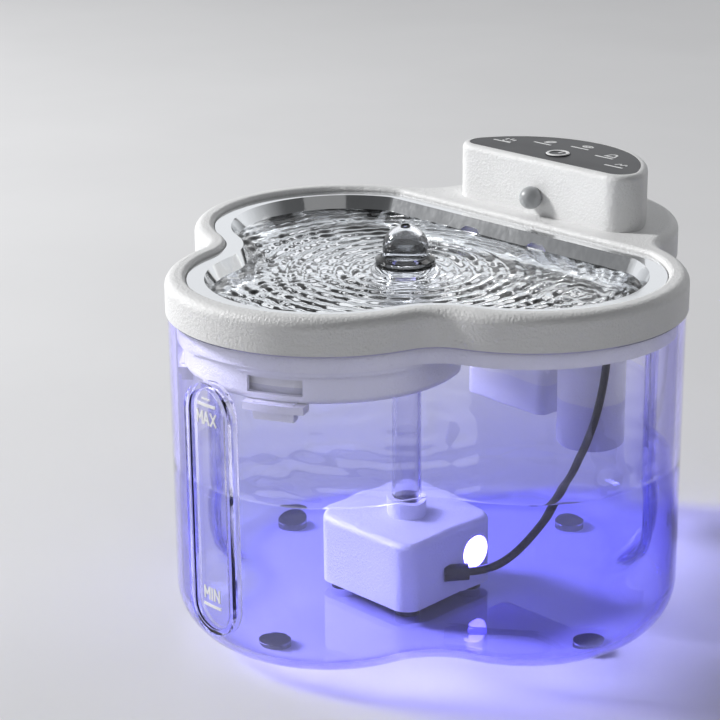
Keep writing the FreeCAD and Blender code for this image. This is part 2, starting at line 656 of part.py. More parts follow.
def make_control_panel():
    """The dark glossy plate let into the head's top, with a round opening for the button."""
    body = new_body("control_panel")
    outline = new_sketch(body, "PanelOutline", S["panel_seat"])
    add_head_plan(outline, S["panel_inset"] + S["panel_gap"])
    add_circle(outline, 0.0, S["button_y"], S["button_radius"] + S["button_gap"])
    pad(body, "PanelPlate", outline, S["panel_thick"])
    keep(body)


def make_button():
    """The power button: a low cap with a dished top on a stem that reaches the switch."""
    body = new_body("power_button")
    half = new_sketch(body, "ButtonHalf", 0.0, "XZ_Plane")
    cap_low = S["panel_seat"] + S["button_travel"] + S["fit_gap"]
    top = S["head_top"] + S["button_rise"]
    stem_low = S["board_top"] + S["switch_tall"] + S["switch_gap"]
    stem, cap, edge = S["stem_radius"], S["button_radius"], S["button_edge"]
    ring_inner = cap - edge - S["button_ring"]
    add_profile(half, [
        (0.0, stem_low), (stem, stem_low), (stem, cap_low), (cap, cap_low), (cap, top - edge),
        (cap - edge, top), (ring_inner, top), (ring_inner - edge, top - edge), (0.0, top - edge)])
    spin(body, "ButtonTurned", half)
    put(body, 0.0, S["button_y"], 0.0)
    keep(body)


def make_head_electronics():
    """Circuit board, switch, light guides, presence sensor and charging socket inside the head."""
    inner = S["head_front"] + S["head_wall"]
    can_front = inner + S["sensor_gap"]
    board_front = can_front + S["sensor_can_deep"]
    board_back = board_front + S["sensor_board_thick"]
    board_half = S["sensor_board_side"] * 0.5
    body = new_body("circuit_board")
    outline = new_sketch(body, "BoardOutline", S["board_low"])
    add_head_plan(outline, S["board_inset"])
    pad(body, "BoardPlate", outline, S["board_thick"])
    notch = new_sketch(body, "SensorNotch", S["board_top"])
    gap = S["notch_gap"]
    add_rectangle(notch, -board_half - gap, board_half + gap, inner, board_back + gap)
    pocket(body, "SensorNotchCut", notch, S["board_thick"])
    keep(body)
    side = S["switch_side"]
    keep(box("button_switch", -side * 0.5, S["button_y"] - side * 0.5, S["board_top"],
             side, side, S["switch_tall"]))
    guides = []
    for number, (x, y) in enumerate(guide_places()):
        rise = S["panel_seat"] - S["board_top"]
        guides.append(cylinder("Guide%d" % number, x, y, S["board_top"], S["guide_radius"], rise))
    keep(fuse("light_guides", guides))
    screws = []
    for number, (x, y) in enumerate(post_places()):
        low = S["board_low"] - S["screw_tall"]
        screws.append(cylinder("BoardScrew%d" % number, x, y, low, S["screw_radius"], S["screw_tall"]))
    keep(fuse("board_screws", screws))
    forward = Rotation(Vector(1, 0, 0), -90)
    height, reach = S["sensor_height"], S["sensor_can_deep"]
    keep(cylinder("sensor_element", 0.0, can_front, height, S["sensor_can"], reach, forward))
    keep(box("sensor_board", -board_half, board_front, height - board_half, board_half * 2,
             S["sensor_board_thick"], board_half * 2))
    make_charging_port()


def make_charging_port():
    """The charging socket at the head's back, on its own small board and rest."""
    back = S["head_back"]
    shelf_low = S["port_height"] - S["port_board_thick"]
    board_front = back - S["port_board_back"]
    half = S["port_board_wide"] * 0.5
    keep(box("charging_board", -half, board_front, shelf_low,
             half * 2, S["port_board_deep"], S["port_board_thick"]))
    half, wall, tall = S["port_width"] * 0.5, S["port_wall"], S["port_tall"]
    front = back - S["port_depth"] - S["port_sunk"]
    metal = box("PortShell", -half, front, S["port_height"], half * 2, S["port_depth"], tall)
    mouth = box("PortMouth", -half + wall, front + S["port_end"], S["port_height"] + wall,
                half * 2 - wall * 2, S["port_depth"], tall - wall * 2)
    keep(cut("charging_port", metal, mouth))
    half = S["port_rest_wide"] * 0.5
    rise = shelf_low - S["rim_top"]
    keep(box("charging_board_rest", -half, board_front, S["rim_top"], half * 2, S["port_rest_deep"], rise))


def make_sensor_lens():
    """The satin grey dome of the presence sensor, turned about its own axis and laid forward."""
    body = new_body("sensor_lens")
    half = new_sketch(body, "LensHalf", 0.0, "XY_Plane")
    dome, neck = S["sensor_radius"].value, S["sensor_neck"].value
    reach = math.sqrt(dome ** 2 - neck ** 2)
    length = S["head_wall"] + S["sensor_gap"]
    depth = length.value
    rear = Vector(0, reach + depth)
    points = [Vector(0, -dome), Vector(neck, reach), Vector(neck, reach + depth)]
    bow = half.addGeometry(arc_between(Vector(0, 0), dome, points[0], points[1]))
    for start, end in ((points[1], points[2]), (points[2], rear), (rear, points[0])):
        half.addGeometry(Part.LineSegment(start, end))
    constrain(half, "Radius", bow, S["sensor_radius"])
    for first, second in ((0, 1), (1, 2), (2, 3), (3, 0)):
        constrain(half, "Coincident", first, 2, second, 1)
    place_point(half, bow, 3, 0.0, 0.0)
    constrain(half, "PointOnObject", 0, 1, -2)
    constrain(half, "Vertical", 1)
    constrain(half, "Horizontal", 2)
    constrain(half, "PointOnObject", 2, 2, -2)
    constrain(half, "DistanceX", -1, 1, 0, 2, S["sensor_neck"])
    constrain(half, "DistanceY", 1, 1, 1, 2, length)
    spin(body, "LensTurned", half)
    centre = S["head_front"].value - reach
    body.Placement = Placement(Vector(0, centre, S["sensor_height"].value), Rotation())
    bind(body, "Placement.Base.z", S["sensor_height"])
    keep(body)


def make_lower_housing():
    """The closed housing that hangs from the deck into the tank: a square block and a round column."""
    body = new_body("lower_housing")
    top, plate_low, wall = S["housing_top"], S["plate_low"], S["housing_wall"]
    left, right, front, back = S["block_left"], S["block_right"], S["block_front"], S["block_back"]
    block = new_sketch(body, "BlockOutline", S["block_low"])
    add_rectangle(block, left, right, front, back)
    solid = pad(body, "BlockPad", block, top - S["block_low"])
    solid = round_edges(body, "BlockCorners", solid, S["block_corner"], upright)
    round_edges(body, "BlockFoot", solid, S["housing_round"], level(S["block_low"]))
    column = new_sketch(body, "ColumnOutline", S["column_low"])
    add_circle(column, S["column_x"], S["column_y"], S["column_radius"])
    pad(body, "ColumnPad", column, top - S["column_low"])

    def low_ring(edge):
        return abs(edge.BoundBox.XMax - edge.BoundBox.XMin - 2 * S["column_radius"].value) < 0.1
    round_edges(body, "ColumnFoot", body.Tip, S["housing_round"], level(S["column_low"], low_ring))
    plate = new_sketch(body, "PlateOutline", plate_low)
    add_head_plan(plate, S["plate_inset"])
    pad(body, "PlatePad", plate, S["plate_thick"])
    room = new_sketch(body, "BlockRoom", top)
    add_rectangle(room, left + wall, right - wall, front + wall, back - wall)
    pocket(body, "BlockHollow", room, top - S["block_low"] - wall)
    well = new_sketch(body, "ColumnRoom", top)
    add_circle(well, S["column_x"], S["column_y"], S["column_radius"] - wall)
    pocket(body, "ColumnHollow", well, top - S["column_low"] - wall)
    keep(body)
    screws = []
    for place in ("right", "left", "front"):
        x, y = S[place + "_screw_x"], S["head_front"] + S[place + "_screw_setback"]
        low = plate_low - S["screw_tall"]
        screws.append(cylinder("HousingScrew_" + place, x, y, low, S["screw_radius"], S["screw_tall"]))
    keep(fuse("housing_screws", screws))
    seal = new_body("deck_seal")
    ring = new_sketch(seal, "DeckSealRing", top)
    add_head_plan(ring, S["deck_seal_inset"])
    add_head_plan(ring, S["deck_seal_inset"] + S["deck_seal_width"])
    pad(seal, "DeckSealPad", ring, S["plate_seal"])
    keep(seal)


def make_cells():
    """Two round cells: one in the column, one in the block beside its driver board."""
    floor = S["column_low"] + S["housing_wall"]
    keep(cylinder("cell_right", S["column_x"], S["column_y"], floor, S["cell_radius"], S["cell_length"]))
    floor = S["block_low"] + S["housing_wall"]
    keep(cylinder("cell_left", S["cell_left_x"], S["cell_left_y"], floor, S["cell_radius"], S["cell_length"]))
    front = S["block_front"] + S["housing_wall"] + S["driver_gap"]
    side = S["block_right"] - S["driver_side"]
    keep(box("driver_board", side, front, floor, S["board_thick"], S["driver_wide"], S["driver_tall"]))


def make_spout():
    """The clear spout on the tray: base with neck, dome, seal and nut."""
    y = S["spout_y"]
    floor = S["tray_floor"]
    bore = S["riser_radius"] + S["running_gap"]
    collar_low = S["drain_height"] + S["collar_rise"]
    base, shoulder, neck = S["spout_base_radius"], S["spout_shoulder"], S["neck_radius"]
    body = new_body("spout_base")
    half = new_sketch(body, "SpoutHalf", 0.0, "XZ_Plane")
    add_profile(half, [
        (bore, S["neck_low"]), (neck, S["neck_low"]), (neck, floor), (base, floor),
        (base, floor + S["spout_step"]), (shoulder, collar_low), (bore, collar_low)])
    spin(body, "SpoutTurned", half)
    put(body, 0.0, y, 0.0)
    keep(body)
    dome = new_body("spout_dome")
    half = new_sketch(dome, "DomeHalf", 0.0, "XZ_Plane")
    outer, wall, collar = S["spout_dome"].value, S["dome_wall"].value, S["spout_collar"].value
    low = collar_low.value
    slope_low = low + S["collar_tall"].value
    spring = low + S["dome_straight"].value
    points = [
        Vector(outer - wall, low), Vector(collar, low), Vector(collar, slope_low),
        Vector(outer, slope_low + S["collar_slope"].value), Vector(outer, spring)]
    for start, end in zip(points, points[1:]):
        half.addGeometry(Part.LineSegment(start, end))
    mouth = S["dome_mouth"].value
    inner = outer - wall
    top_outer = Vector(mouth, spring + math.sqrt(outer ** 2 - mouth ** 2))
    top_inner = Vector(mouth, spring + math.sqrt(inner ** 2 - mouth ** 2))
    hub = Vector(0, spring)
    half.addGeometry(arc_between(hub, outer, points[-1], top_outer))
    half.addGeometry(Part.LineSegment(top_outer, top_inner))
    half.addGeometry(arc_between(hub, inner, Vector(inner, spring), top_inner))
    half.addGeometry(Part.LineSegment(Vector(inner, spring), points[0]))
    spin(dome, "DomeTurned", half)
    put(dome, 0.0, y, 0.0)
    keep(dome)
    seal_low = floor - S["tray_sheet"] - S["spout_seal_thick"]
    nut_low = seal_low - S["nut_tall"]
    rings = (("spout_seal", seal_low, S["spout_seal_thick"]), ("spout_nut", nut_low, S["nut_tall"]))
    for label, low, tall in rings:
        ring = cylinder(label + "_blank", 0.0, y, low, S["nut_radius"], tall)
        hole = cylinder(label + "_bore", 0.0, y, low - 1.0, neck + S["fit_gap"], tall + 2.0)
        keep(cut(label, ring, hole))


def make_tray():
    """The steel drinking tray: a flat lip, a leaning wall and a floor, with two drains at the chord."""
    body = new_body("tray")
    lip_low = S["rim_top"] - S["shelf_drop"]
    lip_inset = S["band_width"] + S["tray_gap"]
    wall_inset = S["band_width"] + S["shelf_width"] + S["wall_gap"]
    sheet_thick = S["tray_sheet"]
    floor_inset = wall_inset + S["wall_run"]
    lip = new_sketch(body, "LipOutline", lip_low)
    add_bowl(lip, lip_inset)
    pad(body, "LipPad", lip, sheet_thick)

    def leaning(name, low_inset, high_inset, low, high, kind):
        lower = new_sketch(body, name + "Low", low)
        add_bowl(lower, low_inset)
        upper = new_sketch(body, name + "High", high)
        add_bowl(upper, high_inset)
        item = body.newObject(kind, name)
        item.Profile = lower
        item.Sections = [upper]
        item.Ruled = True
        return settle(item)

    leaning("BowlOutside", floor_inset, wall_inset, S["tray_floor"] - sheet_thick, lip_low + sheet_thick,
            "PartDesign::AdditiveLoft")
    leaning("BowlInside", floor_inset + sheet_thick, wall_inset + sheet_thick, S["tray_floor"],
            lip_low + sheet_thick, "PartDesign::SubtractiveLoft")
    hole = new_sketch(body, "SpoutHole", S["tray_floor"])
    add_circle(hole, 0.0, S["spout_y"], S["neck_radius"] + S["fit_gap"])
    pocket(body, "SpoutHoleCut", hole, sheet_thick + 0.2)
    drains = new_sketch(body, "Drains", floor_inset - S["chord_base"] + sheet_thick * 2, "XZ_Plane")
    half, tall, nose = S["drain_width"] * 0.5, S["drain_tall"] * 0.5, S["drain_nose"]
    for side in (-1.0, 1.0):
        x = S["drain_half"] * side
        z = S["drain_height"]
        points = [(x - half, z), (x - half + nose, z - tall), (x + half - nose, z - tall), (x + half, z),
                  (x + half - nose, z + tall), (x - half + nose, z + tall)]
        add_profile(drains, points)
    pocket(body, "DrainCuts", drains, S["wall_run"] + S["shelf_width"], False)
    keep(body)


def make_riser():
    """The clear pipe from the pump up to the spout."""
    low = S["pump_top"]
    tall = S["tray_floor"] - low
    y, radius = S["spout_y"], S["riser_radius"]
    tube = cylinder("RiserOuter", 0.0, y, low, radius, tall)
    bore = cylinder("RiserBore", 0.0, y, low - 1.0, radius - S["riser_wall"], tall + 2.0)
    keep(cut("riser_pipe", tube, bore))


def make_pump():
    """The pump: a square housing on four soft feet, with motor, impeller, inlet grille and lamp window."""
    y = S["spout_y"]
    half, wall = S["pump_half"], S["pump_wall"]
    body = new_body("pump_housing")
    outline = new_sketch(body, "PumpOutline", S["pump_low"])
    add_rectangle(outline, -half, half, y - half, y + half)
    solid = pad(body, "PumpBlock", outline, S["pump_top"] - S["pump_low"])
    solid = round_edges(body, "PumpCorners", solid, S["pump_corner"], upright)
    round_edges(body, "PumpTopEdge", solid, S["pump_edge"], level(S["pump_top"]))
    inside = new_sketch(body, "PumpInside", S["pump_low"])
    add_rectangle(inside, -half + wall, half - wall, y - half + wall, y + half - wall)
    pocket(body, "PumpHollow", inside, S["pump_height"] - wall, True)
    socket = new_sketch(body, "OutletSocket", S["pump_top"] - wall)
    add_circle(socket, 0.0, y, S["riser_radius"] + S["socket_wall"])
    pad(body, "OutletPad", socket, wall + S["socket_tall"])
    outlet = new_sketch(body, "OutletSeat", S["pump_top"] + S["socket_tall"])
    add_circle(outlet, 0.0, y, S["riser_radius"] + S["fit_gap"] * 0.5)
    pocket(body, "OutletSeatCut", outlet, S["socket_tall"])
    throat = new_sketch(body, "OutletThroat", S["pump_top"])
    add_circle(throat, 0.0, y, S["riser_radius"] - S["riser_wall"])
    pocket(body, "OutletThroatCut", throat, wall + 0.5)
    window = new_sketch(body, "LampHole", half, "YZ_Plane")
    add_circle(window, S["lamp_y"], S["lamp_height"], S["lamp_radius"] + S["fit_gap"])
    pocket(body, "LampHoleCut", window, wall + 0.5)
    inlet = new_sketch(body, "InletHole", -half, "YZ_Plane")
    inlet_half, inlet_low = S["inlet_half"], S["pump_low"] + S["inlet_rise"]
    add_rectangle(inlet, y - inlet_half, y + inlet_half, inlet_low, inlet_low + S["inlet_tall"])
    pocket(body, "InletHoleCut", inlet, wall + 0.5, True)
    keep(body)
    base_half = half - wall - S["fit_gap"]
    keep(box("pump_base", -base_half, y - base_half, S["pump_low"], base_half * 2, base_half * 2,
             S["pump_base_thick"]))
    spread = half - S["pump_foot_inset"]
    corners = (("front_left", -1, -1), ("front_right", 1, -1), ("back_left", -1, 1), ("back_right", 1, 1))
    for place, right, back in corners:
        keep(cylinder("pump_foot_" + place, spread * right, y + spread * back, S["floor_top"],
                      S["pump_foot_radius"], S["pump_lift"]))
    can = cylinder("MotorBlank", 0.0, y, S["motor_low"], S["motor_radius"], S["motor_height"])
    pit = cylinder("MotorPit", 0.0, y, S["shaft_low"], S["shaft_radius"], S["shaft_seat"] + 1.0)
    keep(cut("motor", can, pit))
    length = S["shaft_seat"] + S["shaft_rise"]
    keep(cylinder("impeller_shaft", 0.0, y, S["shaft_low"], S["shaft_radius"], length))
    make_impeller()
    make_grille()
    make_lamp()


def make_lamp():
    """The round lamp window in the pump's near side, with its diode and board behind it."""
    half, middle, height = S["pump_half"], S["lamp_y"], S["lamp_height"]
    thick = S["lamp_window_thick"]
    window_back = half - thick
    sideways = Rotation(Vector(0, 1, 0), 90)
    keep(cylinder("lamp_window", window_back, middle, height, S["lamp_radius"], thick, sideways))
    diode, board = S["lamp_diode_side"], S["lamp_board_side"]
    diode_back = window_back - S["lamp_diode_tall"]
    board_back = diode_back - S["lamp_board_thick"]
    keep(box("lamp_board", board_back, middle - board * 0.5, height - board * 0.5,
             S["lamp_board_thick"], board, board))
    keep(box("lamp_diode", diode_back, middle - diode * 0.5, height - diode * 0.5,
             S["lamp_diode_tall"], diode, diode))


def make_impeller():
    """Six straight blades on a hub with a disc below, running on the shaft."""
    y, low, tall = S["spout_y"], S["impeller_low"], S["impeller_tall"]
    disc = cylinder("ImpellerDisc", 0.0, y, low, S["impeller_radius"], S["impeller_disc"])
    hub = cylinder("ImpellerHub", 0.0, y, low, S["impeller_hub"], tall)
    length = S["impeller_radius"] - S["blade_inset"]
    blades = []
    for number in range(6):
        turn = Rotation(Vector(0, 0, 1), 60.0 * number)
        blades.append(box("Blade%d" % number, 0.0, y, low, length, S["blade_thick"], tall, turn))
    solid = fuse("ImpellerSolid", [disc, hub] + blades)
    bore = cylinder("ImpellerBore", 0.0, y, low - 1.0, S["shaft_radius"] + S["running_gap"], tall + 2.0)
    keep(cut("impeller", solid, bore))


def make_grille():
    """The inlet grille in the pump's far side: a thin plate with upright slots."""
    y, half, gap = S["spout_y"], S["pump_half"], S["fit_gap"]
    wide, tall = S["inlet_half"] * 2 - gap * 2, S["inlet_tall"] - gap * 2
    low = S["pump_low"] + S["inlet_rise"] + gap
    thick, pitch, margin = S["grille_thick"], S["grille_pitch"], S["grille_margin"]
    plate = box("GrillePlate", -half + gap * 2, y - wide * 0.5, low, thick, wide, tall)
    slots = []
    for number in range(6):
        across = y + pitch * (number - 2.5) - S["grille_slot"] * 0.5
        slots.append(box("GrilleSlot%d" % number, -half - 1.0, across, low + margin, thick + 2.0,
                         S["grille_slot"], tall - margin * 2))
    keep(cut("pump_grille", plate, fuse("GrilleSlots", slots)))


def make_basket():
    """The filter basket under the front lobe, with a flange, drain slots and two finger grips."""
    body = new_body("BasketBody")
    low, high = S["basket_low"], S["skirt_low"]
    outer, wall = S["basket_radius"], S["basket_wall"]

    def lobe_segment(name, radius, back, height):
        sketch = new_sketch(body, name, height)
        centre = Vector(0, -S["front_reach"].value)
        across = math.sqrt(radius.value ** 2 - (back.value - centre.y) ** 2)
        left, right = Vector(-across, back.value), Vector(across, back.value)
        bow = sketch.addGeometry(arc_between(centre, radius.value, left, right))
        chord = sketch.addGeometry(Part.LineSegment(right, left))
        constrain(sketch, "Coincident", bow, 2, chord, 1)
        constrain(sketch, "Coincident", chord, 2, bow, 1)
        constrain(sketch, "Radius", bow, radius)
        place_point(sketch, bow, 3, 0.0, -S["front_reach"])
        constrain(sketch, "Horizontal", chord)
        constrain(sketch, "DistanceY", -1, 1, chord, 1, back)
        return sketch

    solid = pad(body, "BasketBlock", lobe_segment("BasketOutline", outer, S["basket_back"], low), high - low)
    solid = round_edges(body, "BasketCorners", solid, S["basket_corner"], upright)
    solid = round_edges(body, "BasketFoot", solid, S["basket_round"], level(low))
    flange_back = S["basket_back"] - S["flange_setback"]
    flange = lobe_segment("FlangeOutline", S["basket_flange"], flange_back, high - S["flange_thick"])
    pad(body, "FlangePad", flange, S["flange_thick"])
    clearance = new_sketch(body, "WindowClearance", high)
    wide = S["window_width"]
    add_rectangle(clearance, -wide, wide, -S["window_front"], S["window_clear"] - S["window_back"])
    pocket(body, "WindowClearanceCut", clearance, S["flange_thick"])
    room = lobe_segment("BasketRoom", outer - wall, S["basket_back"] - wall, high)
    pocket(body, "BasketHollow", room, high - low - wall)
    slots = new_sketch(body, "BasketSlots", low)
    centre = -S["front_reach"]
    for number in range(-3, 4):
        x, slot_half = S["slot_pitch"] * number, S["slot_width"] * 0.5
        add_rectangle(slots, x - slot_half, x + slot_half, centre - S["slot_front"], centre + S["slot_back"])
    pocket(body, "BasketSlotCuts", slots, wall + 0.5, True)
    grips, fingers = [], []
    depth = S["ledge_radius"] - outer + S["grip_inner"]
    for number, degrees in enumerate(GRIP_ANGLES):
        turn = Rotation(Vector(0, 0, 1), degrees)
        add_wedge(grips, "Ledge%d" % number, turn, S["ledge_low"], S["ledge_tall"],
                  S["finger_width"] + S["ledge_extra"], S["ledge_radius"] + depth)
        add_wedge(grips, "Grip%d" % number, turn, S["grip_low"], S["grip_tall"],
                  S["finger_width"] - S["grip_less"], S["grip_reach"])
        finger_low = S["ledge_low"] + S["ledge_tall"] + S["finger_lift"]
        add_wedge(fingers, "Finger%d" % number, turn, finger_low, S["finger_tall"],
                  S["finger_width"], S["ledge_radius"] + depth)
    tall = S["skirt_low"] - S["grip_low"]
    reach = cylinder("GripReach", 0.0, centre, S["grip_low"], S["ledge_radius"], tall)
    bore = cylinder("GripBore", 0.0, centre, S["grip_low"] - 1.0, outer - S["grip_inner"], tall + 2.0)
    ledges = common("GripShapes", [cut("GripBand", reach, bore), fuse("GripBlocks", grips)])
    joined = fuse("BasketJoined", [body, ledges])
    inner = outer - wall - S["finger_sunk"]
    finger_reach = cylinder("FingerReach", 0.0, centre, S["grip_low"], S["ledge_radius"] + depth, tall)
    finger_core = cylinder("FingerCore", 0.0, centre, S["grip_low"] - 1.0, inner, tall + 2.0)
    finger_band = cut("FingerBand", finger_reach, finger_core)
    holes = common("FingerShapes", [finger_band, fuse("FingerBlocks", fingers)])
    keep(cut("filter_basket", joined, holes))


GRIP_ANGLES = (-63.5, -135.0)


def add_wedge(group, name, turn, low, tall, wide, reach):
    """A box that points outwards from the front lobe's centre, turned to face a finger grip."""
    across = turn.multVec(Vector(0, 1, 0))
    x = wide * (-across.x / 2)
    y = wide * (-across.y / 2) - S["front_reach"]
    group.append(box(name, x, y, low, reach, wide, tall, turn))


def make_filters():
    """Foam, cartridge and lid stacked inside the basket, each clear of its wall."""
    inner = S["basket_radius"] - S["basket_wall"] - S["filter_gap"]
    back = S["basket_back"] - S["basket_wall"] - S["filter_gap"]
    height = S["basket_low"] + S["basket_wall"]
    layers = (("foam", S["foam_tall"]), ("cartridge", S["cartridge_tall"]), ("lid", S["lid_tall"]))
    for kind, tall in layers:
        name = "filter_" + kind
        disc = cylinder(name + "_disc", 0.0, -S["front_reach"], height, inner, tall)
        behind = box(name + "_behind", -inner, back, height - 1.0, inner * 2, inner, tall + 2.0)
        keep(cut(name, disc, behind))
        height = height + tall


# The cable from the head to the pump, chosen by hand along its real route.
CABLE_ROUTE = [
    (40.0, 51.0, 115.0), (40.0, 51.0, 98.0), (40.0, 49.5, 78.0), (38.0, 45.0, 58.0), (35.0, 36.0, 39.5),
    (33.0, 22.5, 26.5), (33.0, 8.5, 19.5), (31.4, -2.4, 17.2), (27.2, -8.0, 17.0)]


def cable_path(points):
    """Straight runs joined by tangent arcs, each arc as large as its two runs allow."""
    spots = [Vector(*point) for point in points]
    edges = []
    start = spots[0]
    for before, corner, after in zip(spots, spots[1:], spots[2:]):
        arriving = (corner - before).normalize()
        leaving = (after - corner).normalize()
        turn = arriving.getAngle(leaving)
        shorter = min((corner - before).Length, (after - corner).Length)
        trim = 0.45 * shorter
        radius = trim / math.tan(turn / 2)
        enter = corner - arriving * trim
        leave = corner + leaving * trim
        bisector = (leaving - arriving).normalize()
        centre = corner + bisector * (radius / math.cos(turn / 2))
        middle = centre - bisector * radius
        edges.append(Part.LineSegment(start, enter).toShape())
        edges.append(Part.Arc(enter, middle, leave).toShape())
        start = leave
        print("cable turn %.0f degrees, radius %.1f" % (math.degrees(turn), radius))
    edges.append(Part.LineSegment(start, spots[-1]).toShape())
    return Part.Wire(edges)


def make_cable():
    """The black cable, its gland under the head and the boot on the pump."""
    radius = S["cable_radius"].value
    path = cable_path(CABLE_ROUTE)
    first = Vector(*CABLE_ROUTE[0])
    section = Part.Wire(Part.Circle(first, Vector(0, 0, 1), radius).toShape())
    tube = path.makePipeShell([section], True, True)
    cable = doc.addObject("Part::Feature", "pump_cable")
    cable.Shape = tube
    keep(cable)
    expected = math.pi * radius ** 2 * path.Length
    print("cable length %.1f mm, volume %.1f of %.1f" % (path.Length, tube.Volume, expected))
    x, y, z = CABLE_ROUTE[0]
    keep(cylinder("cable_gland", x, y, z, S["gland_radius"], S["cover_base"] - z))
    end, before = Vector(*CABLE_ROUTE[-1]), Vector(*CABLE_ROUTE[-2])
    outward = (before - end).normalize()
    root = end - outward * S["boot_length"].value
    turn = Rotation(Vector(0, 0, 1), outward)
    rod = cylinder("BootRod", root.x, root.y, root.z, S["boot_radius"], S["boot_length"], turn)
    half = S["pump_half"]
    keep_out = box("BootTrim", 0.0, S["spout_y"] - half, S["floor_top"], half, half * 2, S["pump_height"])
    keep(cut("cable_boot", rod, keep_out))


def check_and_write():
    doc.recompute()
    for item in doc.Objects:
        if "Invalid" in item.State or "Error" in item.State:
            raise RuntimeError("%s failed: %s" % (item.Name, item.State))
    os.makedirs("parts", exist_ok=True)
    for item in NODES:
        shape = item.Shape
        if shape.isNull() or not shape.isValid() or shape.Volume <= 0:
            raise RuntimeError("%s has no good shape" % item.Label)
        shape.exportStep("parts/%s.step" % item.Label)
        bounds = shape.BoundBox
        print("%-24s solids %d volume %9.1f  z %.2f to %.2f" % (
            item.Label, len(shape.Solids), shape.Volume, bounds.ZMin, bounds.ZMax))


make_tank()
make_feet()
make_level_marks()
make_cover_seal()
make_rim_cover()
make_head_shell()
make_control_panel()
make_button()
make_head_electronics()
make_sensor_lens()
make_lower_housing()
make_cells()
make_tray()
make_spout()
make_riser()
make_pump()
make_basket()
make_filters()
make_cable()
check_and_write()
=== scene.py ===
import math
import bmesh
import bpy
import numpy as np
from mathutils import Vector, Matrix


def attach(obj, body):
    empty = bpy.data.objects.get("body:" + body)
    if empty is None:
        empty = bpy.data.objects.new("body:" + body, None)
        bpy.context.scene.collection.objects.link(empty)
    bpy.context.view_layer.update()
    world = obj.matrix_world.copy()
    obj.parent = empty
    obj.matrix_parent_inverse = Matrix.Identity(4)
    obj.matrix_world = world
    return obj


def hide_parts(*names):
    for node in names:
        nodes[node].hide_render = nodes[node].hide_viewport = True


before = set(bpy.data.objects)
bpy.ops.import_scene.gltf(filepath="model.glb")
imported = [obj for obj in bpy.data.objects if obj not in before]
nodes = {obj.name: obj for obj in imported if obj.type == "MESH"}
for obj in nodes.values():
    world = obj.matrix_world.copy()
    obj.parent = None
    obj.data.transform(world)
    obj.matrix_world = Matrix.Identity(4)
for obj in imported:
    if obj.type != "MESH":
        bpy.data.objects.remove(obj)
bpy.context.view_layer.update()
print("frame loaded:", len(nodes), "nodes")

mm = 0.001

# the clover plan that the tank, the cover and the water share, in millimetres
plan = dict(lobeRadius=55.0, sideReach=45.0, frontReach=50.0, notchRadius=17.0,
            chordBase=52.0, cornerRound=8.0)
levels = dict(tankWater=65.5, tankFloor=4.5, wallInset=3.1, trayFloor=116.0, trayWater=125.2)


# camera at the photograph's viewing angle: angles in degrees, place in metres, lens in millimetres
photoView = dict(place=(0.5226, -0.5273, 0.3400), azimuth=46.63, elevation=18.70, roll=-0.49,
                 sensor=36.0, lens=109.17, shift=(-0.0047, -0.0022), clip=(0.02, 30.0))


def makeCamera(v):
    data = bpy.data.cameras.new("camera")
    data.sensor_width = v["sensor"]
    data.lens = v["lens"]
    data.shift_x, data.shift_y = v["shift"]
    data.clip_start, data.clip_end = v["clip"]
    cam = bpy.data.objects.new("camera", data)
    bpy.context.scene.collection.objects.link(cam)
    a, e, r = (math.radians(v[k]) for k in ("azimuth", "elevation", "roll"))
    back = Vector((math.sin(a) * math.cos(e), -math.cos(a) * math.cos(e), math.sin(e)))
    level = Vector((math.cos(a), math.sin(a), 0.0))
    upright = back.cross(level)
    right = level * math.cos(r) + upright * math.sin(r)
    up = upright * math.cos(r) - level * math.sin(r)
    turn = Matrix((right, up, back)).transposed()
    cam.matrix_world = Matrix.Translation(v["place"]) @ turn.to_4x4()
    bpy.context.scene.camera = cam


makeCamera(photoView)


# grids: every new surface is a numpy array of points on a two-parameter grid
def gridMesh(name, points, closedU=False, smooth=True):
    # points[v, u] is a place in metres; faces run u then v, so u cross v points outwards
    rows, cols = points.shape[:2]
    u0 = np.arange(cols if closedU else cols - 1)
    v0 = np.arange(rows - 1)
    u1, v1 = (u0 + 1) % cols, v0 + 1
    a = (v0[:, None] * cols + u0[None]).ravel()
    b = (v0[:, None] * cols + u1[None]).ravel()
    c = (v1[:, None] * cols + u1[None]).ravel()
    d = (v1[:, None] * cols + u0[None]).ravel()
    quads = np.stack([a, b, c, d], 1)
    return meshFrom(name, points.reshape(-1, 3), quads, smooth)


def meshFrom(name, verts, quads, smooth=True):
    mesh = bpy.data.meshes.new(name)
    mesh.vertices.add(len(verts))
    mesh.vertices.foreach_set("co", np.asarray(verts, np.float32).ravel())
    mesh.loops.add(quads.size)
    mesh.loops.foreach_set("vertex_index", quads.astype(np.int32).ravel())
    mesh.polygons.add(len(quads))
    mesh.polygons.foreach_set("loop_start", np.arange(0, quads.size, 4, dtype=np.int32))
    mesh.update(calc_edges=True)
    mesh.polygons.foreach_set("use_smooth", np.full(len(quads), smooth))
    obj = bpy.data.objects.new(name, mesh)
    bpy.context.scene.collection.objects.link(obj)
    return obj


def onCircle(centre, radius, angle):
    return np.stack([centre[0] + radius * np.cos(angle), centre[1] + radius * np.sin(angle)], 1)


# plan outlines: arcs end to end, each (centre, radius, start angle, end angle); where the radius
# is 0, a straight run between two places
def arcPoints(arcs, count):
    lengths = np.array([abs(r * (a1 - a0)) if r else np.hypot(*(a1 - a0)) for _, r, a0, a1 in arcs])
    share = np.maximum(2, np.round(count * lengths / lengths.sum())).astype(int)
    share[0] += count - share.sum()
    parts = []
    for (centre, r, a0, a1), n in zip(arcs, share):
        t = np.arange(n) / n
        if r:
            angle = a0 + (a1 - a0) * t
            parts.append(onCircle(centre, r, angle))
        else:
            parts.append(a0 + (a1 - a0) * t[:, None])
    return np.vstack(parts)


